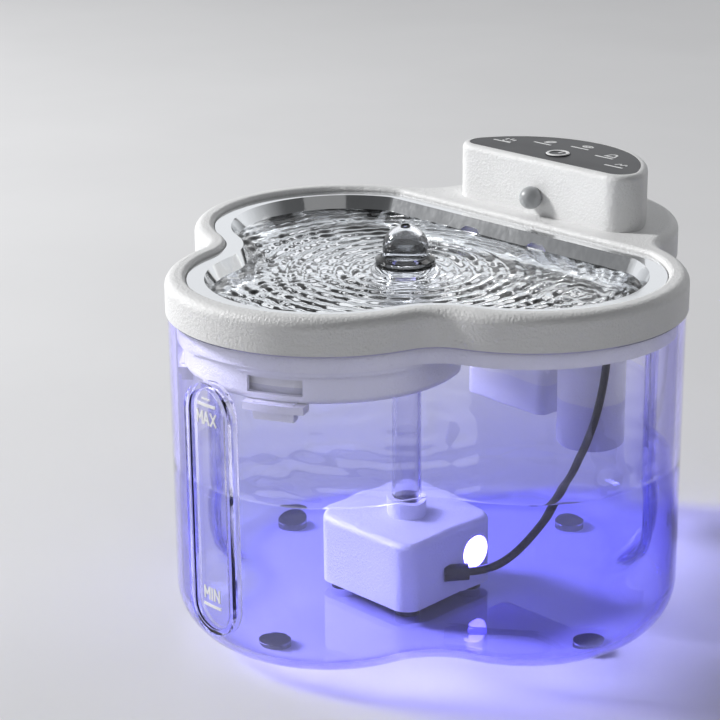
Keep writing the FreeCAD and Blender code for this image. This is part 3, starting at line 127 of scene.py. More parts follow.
def angleOf(origin, target):
    return math.atan2(target[1] - origin[1], target[0] - origin[0])


def turnFrom(start, end, step):
    # the end angle moved by whole turns so that it lies ahead of start in the direction of step
    while (end - start) * step < 0:
        end += math.tau * step
    while (end - start) * step > math.tau:
        end -= math.tau * step
    return end


def notchBetween(a, b, reach):
    a, b = np.array(a), np.array(b)
    half = (b - a) / 2
    away = np.array([half[1], -half[0]]) / np.hypot(*half)
    return a + half + away * math.sqrt(reach ** 2 - half @ half)


def cloverOutline(inset, count):
    # four lobes joined by four hollow notches, moved in by inset
    lobe, notch = plan["lobeRadius"] - inset, plan["notchRadius"] + inset
    reach, side = plan["frontReach"], plan["sideReach"]
    centres = [(0, -reach), (side, 0), (0, reach), (-side, 0)]
    hollows = [notchBetween(centres[i], centres[(i + 1) % 4], lobe + notch) for i in range(4)]
    arcs = []
    for i in range(4):
        start = angleOf(centres[i], hollows[i - 1])
        arcs.append((centres[i], lobe, start, turnFrom(start, angleOf(centres[i], hollows[i]), 1)))
        start = angleOf(hollows[i], centres[i])
        end = turnFrom(start, angleOf(hollows[i], centres[(i + 1) % 4]), -1)
        arcs.append((hollows[i], notch, start, end))
    return arcPoints(arcs, count)


def bowlOutline(inset, count):
    # three lobes, two notches and a straight chord at the head, moved in by inset
    lobe, notch = plan["lobeRadius"] - inset, plan["notchRadius"] + inset
    chord, corner = plan["chordBase"] - inset, plan["cornerRound"]
    front, right = (0, -plan["frontReach"]), (plan["sideReach"], 0)
    hollow = notchBetween(front, right, lobe + notch)
    cy = chord - corner
    cx = right[0] + math.sqrt((lobe - corner) ** 2 - cy ** 2)
    bend = (cx, cy)
    s0, e0 = angleOf(front, (-hollow[0], hollow[1])), angleOf(front, hollow)
    s1 = angleOf(hollow, front)
    e1 = turnFrom(s1, angleOf(hollow, right), -1)
    s2 = angleOf(right, hollow)
    e2 = turnFrom(s2, angleOf(right, bend), 1)
    s3 = angleOf(right, bend)
    e3 = turnFrom(s3, math.pi / 2, 1)
    arcs = [
        (front, lobe, s0, turnFrom(s0, e0, 1)), (hollow, notch, s1, e1), (right, lobe, s2, e2),
        (bend, corner, s3, e3),
        (None, 0, np.array([cx, chord]), np.array([-cx, chord])),
        ((-cx, cy), corner, math.pi / 2, math.pi / 2 + (e3 - s3)),
        ((-right[0], 0), lobe, math.pi - e2, math.pi - s2),
        ((-hollow[0], hollow[1]), notch, math.pi - e1, math.pi - s1)]
    return arcPoints(arcs, count)


print("plan ready")


# node groups: effects shared by more than one material, with masks, tones and heights only
def newGroup(name, inputs, outputs):
    group = bpy.data.node_groups.new(name, "ShaderNodeTree")
    for label, kind, value in inputs:
        socket = group.interface.new_socket(name=label, in_out="INPUT", socket_type=kind)
        socket.default_value = value
    for label, kind in outputs:
        group.interface.new_socket(name=label, in_out="OUTPUT", socket_type=kind)
    start = group.nodes.new("NodeGroupInput")
    end = group.nodes.new("NodeGroupOutput")
    return group, start, end


def wire(tree, source, target):
    tree.links.new(source, target)


def feed(tree, value, socket):
    # a value is either a plain number or the output of another node
    if hasattr(value, "links"):
        wire(tree, value, socket)
    else:
        socket.default_value = value


def mathNode(tree, operation, *values, clamp=False):
    node = tree.nodes.new("ShaderNodeMath")
    node.operation = operation
    node.use_clamp = clamp
    for i, value in enumerate(values):
        feed(tree, value, node.inputs[i])
    return node.outputs[0]


def vectorNode(tree, operation, first, second):
    node = tree.nodes.new("ShaderNodeVectorMath")
    node.operation = operation
    feed(tree, first, node.inputs[0])
    feed(tree, second, node.inputs[1])
    return node


def splitAxes(tree, vector):
    node = tree.nodes.new("ShaderNodeSeparateXYZ")
    wire(tree, vector, node.inputs["Vector"])
    return node.outputs


def noiseNode(tree, coords, scale, detail=3.0, rough=0.5, warp=0.0):
    node = tree.nodes.new("ShaderNodeTexNoise")
    node.inputs["Detail"].default_value = detail
    node.inputs["Roughness"].default_value = rough
    node.inputs["Distortion"].default_value = warp
    wire(tree, coords, node.inputs["Vector"])
    feed(tree, scale, node.inputs["Scale"])
    return node.outputs["Fac"]


def mapRange(tree, value, low, high, toLow, toHigh):
    node = tree.nodes.new("ShaderNodeMapRange")
    labels = ("Value", "From Min", "From Max", "To Min", "To Max")
    for label, item in zip(labels, (value, low, high, toLow, toHigh)):
        feed(tree, item, node.inputs[label])
    return node.outputs["Result"]


def sparkGroup():
    # eroded mould texture: fine pits plus a slow tone drift
    group, start, end = newGroup("sparkTexture", [
        ("Vector", "NodeSocketVector", (0, 0, 0)), ("Grain", "NodeSocketFloat", 1300.0),
        ("Drift", "NodeSocketFloat", 18.0)],
        [("Height", "NodeSocketFloat"), ("Tone", "NodeSocketFloat")])
    coords = start.outputs["Vector"]
    fine = noiseNode(group, coords, start.outputs["Grain"], 4.0, 0.62)
    pits = group.nodes.new("ShaderNodeTexVoronoi")
    pits.feature = "SMOOTH_F1"
    pits.inputs["Smoothness"].default_value = 0.6
    wire(group, coords, pits.inputs["Vector"])
    wire(group, mathNode(group, "MULTIPLY", start.outputs["Grain"], 0.45), pits.inputs["Scale"])
    grainPart = mathNode(group, "MULTIPLY", fine, 0.6)
    pitPart = mathNode(group, "MULTIPLY", pits.outputs["Distance"], 0.5)
    height = mathNode(group, "ADD", grainPart, pitPart)
    drift = noiseNode(group, coords, start.outputs["Drift"], 3.0, 0.6)
    tone = mapRange(group, drift, 0.3, 0.7, 0.0, 1.0)
    wire(group, height, end.inputs["Height"])
    wire(group, tone, end.inputs["Tone"])
    return group


def brushedGroup():
    # long fine scratches along one direction, plus faint cloudy tone
    group, start, end = newGroup("brushedGrain", [
        ("Vector", "NodeSocketVector", (0, 0, 0)), ("Along", "NodeSocketVector", (1, 1, 1)),
        ("Fine", "NodeSocketFloat", 900.0)],
        [("Height", "NodeSocketFloat"), ("Tone", "NodeSocketFloat")])
    stretch = vectorNode(group, "MULTIPLY", start.outputs["Vector"], start.outputs["Along"])
    lines = noiseNode(group, stretch.outputs["Vector"], start.outputs["Fine"], 5.0, 0.7)
    cloud = noiseNode(group, start.outputs["Vector"], 40.0, 3.0, 0.5)
    linePart = mathNode(group, "MULTIPLY", lines, 0.6)
    cloudPart = mathNode(group, "MULTIPLY", cloud, 0.4)
    wire(group, lines, end.inputs["Height"])
    wire(group, mathNode(group, "ADD", linePart, cloudPart), end.inputs["Tone"])
    return group


def smudgeGroup():
    # handling marks on smooth plastic: soft blotches and a few thin hairlines, as a mask
    group, start, end = newGroup("handlingMarks", [
        ("Vector", "NodeSocketVector", (0, 0, 0)), ("Size", "NodeSocketFloat", 30.0),
        ("Hairlines", "NodeSocketFloat", 0.3)],
        [("Mask", "NodeSocketFloat"), ("Height", "NodeSocketFloat")])
    coords = start.outputs["Vector"]
    cloud = noiseNode(group, coords, start.outputs["Size"], 5.0, 0.6)
    blotch = mapRange(group, cloud, 0.45, 0.72, 0.0, 1.0)
    warped = noiseNode(group, coords, 160.0, 2.0, 0.5, 1.5)
    # a hairline lies where the warped noise passes its middle value
    away = mathNode(group, "ABSOLUTE", mathNode(group, "SUBTRACT", warped, 0.5))
    hair = mapRange(group, away, 0.0, 0.006, 1.0, 0.0)
    thin = mathNode(group, "MULTIPLY", hair, start.outputs["Hairlines"])
    mask = mathNode(group, "ADD", blotch, thin, clamp=True)
    wire(group, mask, end.inputs["Mask"])
    wire(group, blotch, end.inputs["Height"])
    return group


groups = dict(spark=sparkGroup(), brushed=brushedGroup(), smudge=smudgeGroup())


def newMaterial(name):
    mat = bpy.data.materials.new(name)
    mat.use_nodes = True
    tree = mat.node_tree
    shader = tree.nodes["Principled BSDF"]
    coords = tree.nodes.new("ShaderNodeTexCoord")
    return mat, tree, shader, coords.outputs["Object"]


def placeGroup(tree, key, coords, **values):
    node = tree.nodes.new("ShaderNodeGroup")
    node.node_tree = groups[key]
    wire(tree, coords, node.inputs["Vector"])
    for label, value in values.items():
        node.inputs[label].default_value = value
    return node


def addBump(tree, shader, height, strength, depth):
    bump = tree.nodes.new("ShaderNodeBump")
    bump.inputs["Strength"].default_value = strength
    bump.inputs["Distance"].default_value = depth
    wire(tree, height, bump.inputs["Height"])
    wire(tree, bump.outputs["Normal"], shader.inputs["Normal"])


def mixColour(tree, mask, low, high):
    # low may be a colour or the output of another node, high is a colour
    node = tree.nodes.new("ShaderNodeMix")
    node.data_type = "RGBA"
    wire(tree, mask, node.inputs["Factor"])
    feed(tree, low if hasattr(low, "links") else (*low, 1.0), node.inputs["A"])
    node.inputs["B"].default_value = (*high, 1.0)
    return node.outputs["Result"]


def varyColour(tree, shader, mask, low, high):
    wire(tree, mixColour(tree, mask, low, high), shader.inputs["Base Color"])


def varyRoughness(tree, shader, value, start, end, low, high):
    wire(tree, mapRange(tree, value, start, end, low, high), shader.inputs["Roughness"])


def texturedPlastic(name, low, high, rough=0.42, grain=2300.0, depth=0.00042, strength=0.8):
    mat, tree, shader, coords = newMaterial(name)
    spark = placeGroup(tree, "spark", coords, Grain=grain).outputs
    varyColour(tree, shader, spark["Tone"], low, high)
    varyRoughness(tree, shader, spark["Height"], 0.2, 0.8, rough - 0.06, rough + 0.08)
    addBump(tree, shader, spark["Height"], strength, depth)
    return mat


def smoothPlastic(name, low, high, rough=0.2, gloss=0.5):
    mat, tree, shader, coords = newMaterial(name)
    marks = placeGroup(tree, "smudge", coords).outputs
    varyColour(tree, shader, marks["Mask"], low, high)
    varyRoughness(tree, shader, marks["Mask"], 0.0, 1.0, rough, rough + 0.08)
    addBump(tree, shader, marks["Height"], 0.05, 0.0001)
    shader.inputs["Specular IOR Level"].default_value = gloss
    return mat


def metal(name, low, high, rough, along=(1, 1, 1), fine=900.0, strength=0.12):
    mat, tree, shader, coords = newMaterial(name)
    grain = placeGroup(tree, "brushed", coords, Along=along, Fine=fine).outputs
    varyColour(tree, shader, grain["Tone"], low, high)
    varyRoughness(tree, shader, grain["Tone"], 0.3, 0.7, rough - 0.04, rough + 0.06)
    addBump(tree, shader, grain["Height"], strength, 0.00003)
    shader.inputs["Metallic"].default_value = 1.0
    return mat


# what all clear materials share: the width of the edge tint, and the index of the coat
clearShared = dict(blend=0.35, edgeSpan=(0.3, 0.65), coatIndex=1.33)


def addEdgeTint(tree, tint, edge):
    facing = tree.nodes.new("ShaderNodeLayerWeight")
    facing.inputs["Blend"].default_value = clearShared["blend"]
    mask = mapRange(tree, facing.outputs["Facing"], *clearShared["edgeSpan"], 0.0, 1.0)
    return mixColour(tree, mask, tint, edge)


def addAbsorption(tree, colour, density):
    body = tree.nodes.new("ShaderNodeVolumeAbsorption")
    body.inputs["Color"].default_value = (*colour, 1.0)
    body.inputs["Density"].default_value = density
    wire(tree, body.outputs["Volume"], tree.nodes["Material Output"].inputs["Volume"])


def clearMaterial(name, low, high, ior, rough=0.02, shadowTint=(1, 1, 1), edge=None, span=None,
                  absorb=None, coat=0.0):
    # glass-like shader; shadow rays pass straight through so that what is inside gets light
    mat, tree, shader, coords = newMaterial(name)
    marks = placeGroup(tree, "smudge", coords, Hairlines=0.0).outputs
    if absorb:
        addAbsorption(tree, *absorb)
    # the tint runs along one axis where span is given as (axis, start, end): on the riser it is a
    # real violet sleeve, on the tank water it is painted glow of the violet lamp
    mask = marks["Mask"]
    if span:
        axis, start, end = span
        mask = mapRange(tree, splitAxes(tree, coords)[axis], start, end, 0.0, 1.0)
    tint = mixColour(tree, mask, low, high)
    if edge:
        tint = addEdgeTint(tree, tint, edge)
    wire(tree, tint, shader.inputs["Base Color"])
    varyRoughness(tree, shader, marks["Mask"], 0.0, 1.0, rough, rough + 0.02)
    shader.inputs["Coat Weight"].default_value = coat
    shader.inputs["Coat Roughness"].default_value = 0.0
    shader.inputs["Coat IOR"].default_value = clearShared["coatIndex"]
    shader.inputs["Transmission Weight"].default_value = 1.0
    shader.inputs["IOR"].default_value = ior
    path = tree.nodes.new("ShaderNodeLightPath")
    through = tree.nodes.new("ShaderNodeBsdfTransparent")
    through.inputs["Color"].default_value = (*shadowTint, 1.0)
    mix = tree.nodes.new("ShaderNodeMixShader")
    wire(tree, path.outputs["Is Shadow Ray"], mix.inputs["Fac"])
    wire(tree, shader.outputs["BSDF"], mix.inputs[1])
    wire(tree, through.outputs["BSDF"], mix.inputs[2])
    wire(tree, mix.outputs["Shader"], tree.nodes["Material Output"].inputs["Surface"])
    return mat


def paint(mat, obj):
    obj.data.materials.clear()
    obj.data.materials.append(mat)


whiteCover = texturedPlastic("whiteCover", (0.82, 0.82, 0.82), (0.87, 0.87, 0.87))
whiteInner = texturedPlastic("whiteInner", (0.78, 0.78, 0.80), (0.84, 0.84, 0.86),
                             rough=0.38, depth=0.0003)
panelGloss = smoothPlastic("panelGloss", (0.026, 0.026, 0.029), (0.038, 0.038, 0.041),
                           rough=0.3, gloss=0.1)
lensSatin = texturedPlastic("lensSatin", (0.36, 0.37, 0.38), (0.42, 0.43, 0.44),
                            rough=0.3, grain=5000.0, strength=0.1)
blackRubber = texturedPlastic("blackRubber", (0.012, 0.012, 0.013), (0.03, 0.03, 0.032), rough=0.55)
cableSkin = texturedPlastic("cableSkin", (0.008, 0.008, 0.01), (0.02, 0.02, 0.024),
                            rough=0.35, grain=1500.0, strength=0.2)
darkPlastic = texturedPlastic("darkPlastic", (0.02, 0.02, 0.022), (0.045, 0.045, 0.05), rough=0.4)
filterCloth = texturedPlastic("filterCloth", (0.72, 0.72, 0.70), (0.86, 0.86, 0.83),
                              rough=0.85, grain=900.0, depth=0.0004)
# the photograph shows something pale through the basket's slot, so the foam is pale
filterFoam = texturedPlastic("filterFoam", (0.58, 0.58, 0.62), (0.70, 0.70, 0.74),
                             rough=0.8, grain=800.0, depth=0.0005, strength=0.9)
sealSilicone = smoothPlastic("sealSilicone", (0.62, 0.60, 0.74), (0.68, 0.66, 0.78), rough=0.4)
boardGreen = smoothPlastic("boardGreen", (0.02, 0.12, 0.06), (0.04, 0.18, 0.09), rough=0.35)
whitePrint = smoothPlastic("whitePrint", (0.86, 0.86, 0.86), (0.92, 0.92, 0.92), rough=0.35)
traySteel = metal("traySteel", (0.72, 0.73, 0.74), (0.84, 0.85, 0.86), 0.08,
                  along=(1, 1, 0.04), fine=700.0, strength=0.05)
brightMetal = metal("brightMetal", (0.6, 0.6, 0.61), (0.75, 0.75, 0.76), 0.25)
tankClear = clearMaterial("tankClear", (0.975, 0.975, 1.0), (0.95, 0.95, 1.0), 1.25, coat=1.0,
                          shadowTint=(0.95, 0.94, 1.0), edge=(0.34, 0.30, 1.0),
                          absorb=((0.42, 0.40, 1.0), 42.0))
spoutClear = clearMaterial("spoutClear", (0.98, 0.985, 1.0), (0.95, 0.96, 1.0), 1.45)
# the riser is violet from the sleeve's lower end up
riserClear = clearMaterial("riserClear", (0.97, 0.97, 1.0), (0.50, 0.46, 1.0), 1.45,
                           span=("Z", 0.0828, 0.0833), absorb=((0.42, 0.40, 1.0), 90.0))
# the photograph shows things under the water unbent, so the body barely bends light and its
# skin is a coat
# its colour turns violet towards +X: this is painted violet glow of the lamp beside the pump, not a
# colour of the water
tankLiquidPaintedGlow = clearMaterial("tankLiquidPaintedGlow", (0.94, 0.95, 1.0), (0.66, 0.64, 1.0), 1.01, rough=0.0,
                           coat=1.0, shadowTint=(0.96, 0.96, 1.0), span=("X", -0.06, 0.09),
                           absorb=((0.36, 0.40, 1.0), 5.0))
trayLiquid = clearMaterial("trayLiquid", (0.98, 0.99, 1.0), (0.95, 0.97, 1.0), 1.33, rough=0.0)


# the lamp's window and its diode, lit
violetLamp = dict(low=(0.35, 0.28, 1.0), high=(0.5, 0.42, 1.0), glow=(0.28, 0.24, 1.0),
                  strength=14.0)


def lampMaterial(v):
    mat, tree, shader, coords = newMaterial("lampViolet")
    marks = placeGroup(tree, "smudge", coords)
    varyColour(tree, shader, marks.outputs["Mask"], v["low"], v["high"])
    shader.inputs["Emission Color"].default_value = (*v["glow"], 1.0)
    shader.inputs["Emission Strength"].default_value = v["strength"]
    return mat


# the power button: panel black with a white raised ring, in metres
button = dict(centre=(0.0, 0.066, 0.0), ring=(0.0032, 0.0047), above=0.15283,
              dark=(0.03, 0.03, 0.033), pale=(0.86, 0.86, 0.86), rough=(0.28, 0.38), gloss=0.15)


def buttonMaterial(b):
    mat, tree, shader, coords = newMaterial("buttonGloss")
    axes = splitAxes(tree, vectorNode(tree, "SUBTRACT", coords, b["centre"]).outputs["Vector"])
    # radius from the button's axis: the square root of x squared plus y squared
    squares = [mathNode(tree, "MULTIPLY", axes[axis], axes[axis]) for axis in "XY"]
    radius = mathNode(tree, "SQRT", mathNode(tree, "ADD", *squares))
    inside = mathNode(tree, "GREATER_THAN", radius, b["ring"][0])
    outside = mathNode(tree, "LESS_THAN", radius, b["ring"][1])
    raised = mathNode(tree, "GREATER_THAN", axes["Z"], b["above"])
    mask = mathNode(tree, "MULTIPLY", mathNode(tree, "MULTIPLY", inside, outside), raised)
    varyColour(tree, shader, mask, b["dark"], b["pale"])
    marks = placeGroup(tree, "smudge", coords)
    varyRoughness(tree, shader, marks.outputs["Mask"], 0.0, 1.0, *b["rough"])
    shader.inputs["Specular IOR Level"].default_value = b["gloss"]
    return mat


paintwork = [
    (tankClear, "tank"),
    (spoutClear, "spout_base spout_dome"),
    (riserClear, "riser_pipe"),
    (whiteCover, "rim_cover head_shell"),
    (whiteInner, "lower_housing pump_housing pump_base filter_basket filter_lid pump_grille "
                 "spout_nut impeller light_guides"),
    (panelGloss, "control_panel"),
    (buttonMaterial(button), "power_button"),
    (lensSatin, "sensor_lens"),
    (blackRubber, "foot_front foot_right foot_back foot_left pump_foot_front_left "
                  "pump_foot_front_right pump_foot_back_left pump_foot_back_right cable_boot "
                  "cable_gland spout_seal"),
    (traySteel, "tray"),
    (brightMetal, "board_screws housing_screws sensor_element charging_port impeller_shaft "
                  "cell_left cell_right"),
    (sealSilicone, "cover_seal deck_seal"),
    (boardGreen, "circuit_board driver_board sensor_board charging_board lamp_board"),
    (darkPlastic, "button_switch motor charging_board_rest"),
    (whitePrint, "level_marks"),
    (filterCloth, "filter_cartridge"),
    (filterFoam, "filter_foam"),
    (lampMaterial(violetLamp), "lamp_window lamp_diode")]
for mat, names in paintwork:
    for name in names.split():
        paint(mat, nodes[name])
print("materials done")


# the cable: the CAD route's points, in metres, as a smooth spline
cable = dict(diameter=0.003, length=0.1306, route=[
    (0.0400, 0.0510, 0.1150), (0.0400, 0.0510, 0.0980), (0.0400, 0.0495, 0.0780),
    (0.0380, 0.0450, 0.0580), (0.0350, 0.0360, 0.0395), (0.0330, 0.0225, 0.0265),
    (0.0330, 0.0085, 0.0195), (0.0314, -0.0024, 0.0172), (0.0272, -0.0080, 0.0170)])


def makeCable(c):
    curve = bpy.data.curves.new("cable", "CURVE")
    curve.dimensions = "3D"
    spline = curve.splines.new("NURBS")
    spline.points.add(len(c["route"]) - 1)
    for point, place in zip(spline.points, c["route"]):
        point.co = (*place, 1.0)
    spline.order_u = 3
    spline.use_endpoint_u = True
    spline.resolution_u = 12
    curve.bevel_depth = c["diameter"] / 2
    curve.bevel_resolution = 6
    curve.use_fill_caps = True
    obj = bpy.data.objects.new("cable", curve)
    bpy.context.scene.collection.objects.link(obj)
    curve.materials.append(cableSkin)
    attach(obj, "cover")
    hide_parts("pump_cable")


makeCable(cable)
print("cable done")


# printed marks: flat strokes, each a closed strip a little thicker than the print is deep
def strokeBox(start, end, width):
    # the four corners of one stroke in the plane of the print
    start, end = np.array(start, float), np.array(end, float)
    along = (end - start) / np.hypot(*(end - start))
    across = np.array([-along[1], along[0]]) * width / 2
    return np.array([start - across, end - across, end + across, start + across])


def ringStrip(centre, radius, width, startAngle, endAngle, steps):
    # a bent strip as a row of corner pairs, inner then outer
    angle = np.radians(np.linspace(startAngle, endAngle, steps))
    inner = onCircle(centre, radius - width / 2, angle)
    outer = onCircle(centre, radius + width / 2, angle)
    return [np.array([inner[i], inner[i + 1], outer[i + 1], outer[i]]) for i in range(steps - 1)]


def markMesh(name, patches, lift, body):
    # every patch becomes a thin block: lift(points, layer) gives the place of its lower and its
    # upper skin, in millimetres
    verts, quads = [], []
    for patch in patches:
        base = len(verts)
        verts.extend(lift(patch, 0))
        verts.extend(lift(patch, 1))
        a, b, c, d, e, f, g, h = range(base, base + 8)
        quads += [(d, c, b, a), (e, f, g, h), (a, b, f, e),
                  (b, c, g, f), (c, d, h, g), (d, a, e, h)]
    obj = meshFrom(name, np.array(verts) * mm, np.array(quads), smooth=False)
    bm = bmesh.new()
    bm.from_mesh(obj.data)
    bmesh.ops.recalc_face_normals(bm, faces=bm.faces)
    bm.to_mesh(obj.data)
    bm.free()
    paint(whitePrint, obj)
    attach(obj, body)


def flatLift(base, thick):
    # prints on a level face: the lower skin lies at height base
    return lambda patch, layer: np.column_stack([patch, np.full(4, base + thick * layer)])


# letters of the level window, as strokes in a cell one unit wide and one unit tall
letters = {
    "M": [((0.0, 0.0), (0.0, 1.0)), ((0.0, 1.0), (0.5, 0.35)), ((0.5, 0.35), (1.0, 1.0)),
          ((1.0, 1.0), (1.0, 0.0))],
    "A": [((0.0, 0.0), (0.5, 1.0)), ((0.5, 1.0), (1.0, 0.0)), ((0.2, 0.35), (0.8, 0.35))],
    "X": [((0.0, 0.0), (1.0, 1.0)), ((0.0, 1.0), (1.0, 0.0))],
    "I": [((0.5, 0.0), (0.5, 1.0))],
    "N": [((0.0, 0.0), (0.0, 1.0)), ((0.0, 1.0), (1.0, 0.0)), ((1.0, 0.0), (1.0, 1.0))]}
# each word: its text, its foot's height, and each letter's width and gap
levelPrint = dict(tall=4.6, stroke=0.7, radius=54.42, thick=0.26, words=[
    ("MAX", 90.6, [(2.7, 0.7), (2.7, 0.7), (2.6, 0.7)]),
    ("MIN", 27.6, [(2.7, 1.0), (0.5, 1.0), (2.3, 1.0)])],
    shortLine=(-2.0, 2.0, 99.6, 0.6))


def makeLevelPrint(p):
    patches = []
    for word, base, cells in p["words"]:
        x = -sum(w + gap for w, gap in cells) / 2 + cells[0][1] / 2
        for letter, (wide, gap) in zip(word, cells):
            for start, end in letters[letter]:
                a = (x + start[0] * wide, base + start[1] * p["tall"])
                b = (x + end[0] * wide, base + end[1] * p["tall"])
                patches.append(strokeBox(a, b, p["stroke"]))
            x += wide + gap
    x0, x1, z, width = p["shortLine"]
    patches.append(strokeBox((x0, z), (x1, z), width))

    def lift(patch, layer):
        # wrapped round the front lobe: the way along the print becomes an angle round its axis
        radius = p["radius"] + p["thick"] * layer
        angle = patch[:, 0] / p["radius"]
        y = -plan["frontReach"] - radius * np.cos(angle)
        return np.stack([radius * np.sin(angle), y, patch[:, 1]], 1)

    markMesh("levelPrint", patches, lift, "tank")


makeLevelPrint(levelPrint)

# small marks on the panel: five signs with a short bar beside each
panelPrint = dict(base=152.56, thick=0.06, stroke=0.6, scale=1.25, bar=(-5.2, 3.2), barGap=3.6,
                  barWidth=0.9, signs=[
                      ("drops", -28.0, 70.6), ("leaf", -14.3, 78.2), ("eye", 0.7, 82.2),
                      ("bell", 16.6, 77.4), ("wave", 28.2, 69.0)])


def signPatches(kind, s):
    # each sign is a few strokes and bent strips within about two millimetres of its middle
    if kind == "drops":
        places = ((-1.5, 0.2), (0, 0.8), (1.5, 0.2))
        drops = [strokeBox((x, y - 0.8), (x, y + 0.8), 0.7) for x, y in places]
        return drops + ringStrip((0, -0.9), 1.6, s, 200, 340, 8)
    if kind == "leaf":
        return [*ringStrip((0.6, -0.6), 2.0, s, 80, 190, 9),
                *ringStrip((-0.8, 0.8), 2.0, s, -100, 10, 9),
                strokeBox((-1.6, -1.4), (0.9, 1.0), s)]
    if kind == "eye":
        return [*ringStrip((0, 0), 0.7, 0.6, 0, 360, 13),
                *ringStrip((0, -1.3), 2.3, s, 35, 145, 10),
                *ringStrip((0, 1.3), 2.3, s, 215, 325, 10)]
    if kind == "bell":
        return [*ringStrip((0, 0.2), 1.3, s, 0, 180, 10), strokeBox((-1.3, 0.2), (-1.7, -1.1), s),
                strokeBox((1.3, 0.2), (1.7, -1.1), s), strokeBox((-2.1, -1.2), (2.1, -1.2), s)]
    return [strokeBox((-1.9, -0.9), (-0.9, 0.7), s), strokeBox((-0.9, 0.7), (0.2, -0.7), s),
            strokeBox((0.2, -0.7), (1.1, 0.8), s), strokeBox((1.1, 0.8), (1.9, -0.4), s)]


def makePanelPrint(p):
    patches = []
    for kind, x, y in p["signs"]:
        for patch in signPatches(kind, p["stroke"]):
            patches.append(patch * p["scale"] + (x, y))
        left, right = ((x + end, y - p["barGap"]) for end in p["bar"])
        patches.append(strokeBox(left, right, p["barWidth"]))
    markMesh("panelPrint", patches, flatLift(p["base"], p["thick"]), "cover")


makePanelPrint(panelPrint)

# the sign on the button: an upright bar that closes the white ring's power mark
buttonPrint = dict(centre=(0.0, 66.0), base=152.81, thick=0.06, bar=(0.4, 3.2), width=0.8)


def makeButtonPrint(p):
    cx, cy = p["centre"]
    low, high = p["bar"]
    bar = [strokeBox((cx, cy + low), (cx, cy + high), p["width"])]
    markMesh("buttonSign", bar, flatLift(p["base"], p["thick"]), "power_button")


makeButtonPrint(buttonPrint)
print("marks done")


def levelRing(outline, height):
    return np.column_stack([outline, np.full(len(outline), height)])


def closeEnds(obj):
    bm = bmesh.new()
    bm.from_mesh(obj.data)
    bmesh.ops.holes_fill(bm, edges=[e for e in bm.edges if e.is_boundary], sides=0)
    bmesh.ops.recalc_face_normals(bm, faces=bm.faces)
    for face in bm.faces:
        face.smooth = True
    bm.to_mesh(obj.data)
    bm.free()


def liquidMesh(name, rows, mat, body):
    obj = gridMesh(name, np.array(rows) * mm, closedU=True)
    closeEnds(obj)
    paint(mat, obj)
    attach(obj, body)


# water in the tank: the clover inside the wall, with the floor's rounding, closed by a gently
# moving top; the row counts are for the floor, its rounding, the wall and the top
tankWater = dict(overlap=0.08, round=17.5, around=360, floorRows=10, roundRows=12, wallRows=10,
                 topRows=40, swell=0.35, meniscus=1.2, meniscusReach=1.4, calmEdge=4)


def tankSwell(x, y):
    # slow crossing waves: a sine in x times a cosine in y, a slanted sine and a round sine
    crossing = np.sin(0.21 * x + 0.6) * np.cos(0.17 * y)
    return crossing + 0.5 * np.sin(0.35 * (x + y)) + 0.35 * np.sin(0.5 * np.hypot(x, y + 13))


def makeTankWater(w):
    top, floor = levels["tankWater"], levels["tankFloor"] - w["overlap"]
    base = levels["wallInset"] - w["overlap"]
    rows = []
    # floor from the middle out, then the rounded foot, then the wall, then the top to the middle
    flat = cloverOutline(base + w["round"], w["around"])
    for t in np.linspace(0.02, 1.0, w["floorRows"]):
        rows.append(levelRing(flat * t, floor))
    for bend in np.linspace(0, math.pi / 2, w["roundRows"])[1:]:
        # a quarter round: the inset falls as one minus sine, the height rises as one minus cosine
        ring = cloverOutline(base + w["round"] * (1 - math.sin(bend)), w["around"])
        rows.append(levelRing(ring, floor + w["round"] * (1 - math.cos(bend))))
    ring = cloverOutline(base, w["around"])
    for z in np.linspace(floor + w["round"], top + w["meniscus"], w["wallRows"])[1:]:
        rows.append(levelRing(ring, z))
    for t in np.linspace(1.0, 0.01, w["topRows"])[1:]:
        inside = ring * t
        edge = np.hypot(*(ring - inside).T)
        # the meniscus decays from the wall, the swell grows from it
        rise = w["meniscus"] * np.exp(-edge / w["meniscusReach"])
        swell = w["swell"] * tankSwell(*inside.T)
        height = top + rise + swell * (1 - np.exp(-edge / w["calmEdge"]))
        rows.append(np.column_stack([inside, height]))
    liquidMesh("tankWater", rows, tankLiquidPaintedGlow, "tank")


makeTankWater(tankWater)
print("tank water done")


# water in the tray: rings of ripples round the spout crossed by waves that come back from the
# lobes; each source is its place, pace in radians per millimetre, strength and reach
trayWater = dict(around=460, floorRows=8, wallRows=5, topRows=150, spout=(0.0, -13.0),
                 topInset=15.3, lowInset=19.4, floorLift=0.02, height=0.5,
                 skirt=(7.7, 13.0, 6.2), cap=0.92, bend=(1.6, 0.5), fallPower=1.7,
                 calmEdge=1.5, meniscus=0.3, meniscusReach=1.2, sources=[
                     (0.0, -13.0, 1.1, 1.0, 90.0), (62.0, 6.0, 1.35, 0.3, 45.0),
                     (-60.0, 8.0, 1.25, 0.35, 45.0), (6.0, -72.0, 1.45, 0.25, 40.0),
                     (-34.0, 60.0, 0.9, 0.2, 90.0), (38.0, -52.0, 1.2, 0.15, 60.0),
                     (-45.0, -60.0, 0.9, 0.2, 70.0), (20.0, 64.0, 0.8, 0.2, 90.0)])


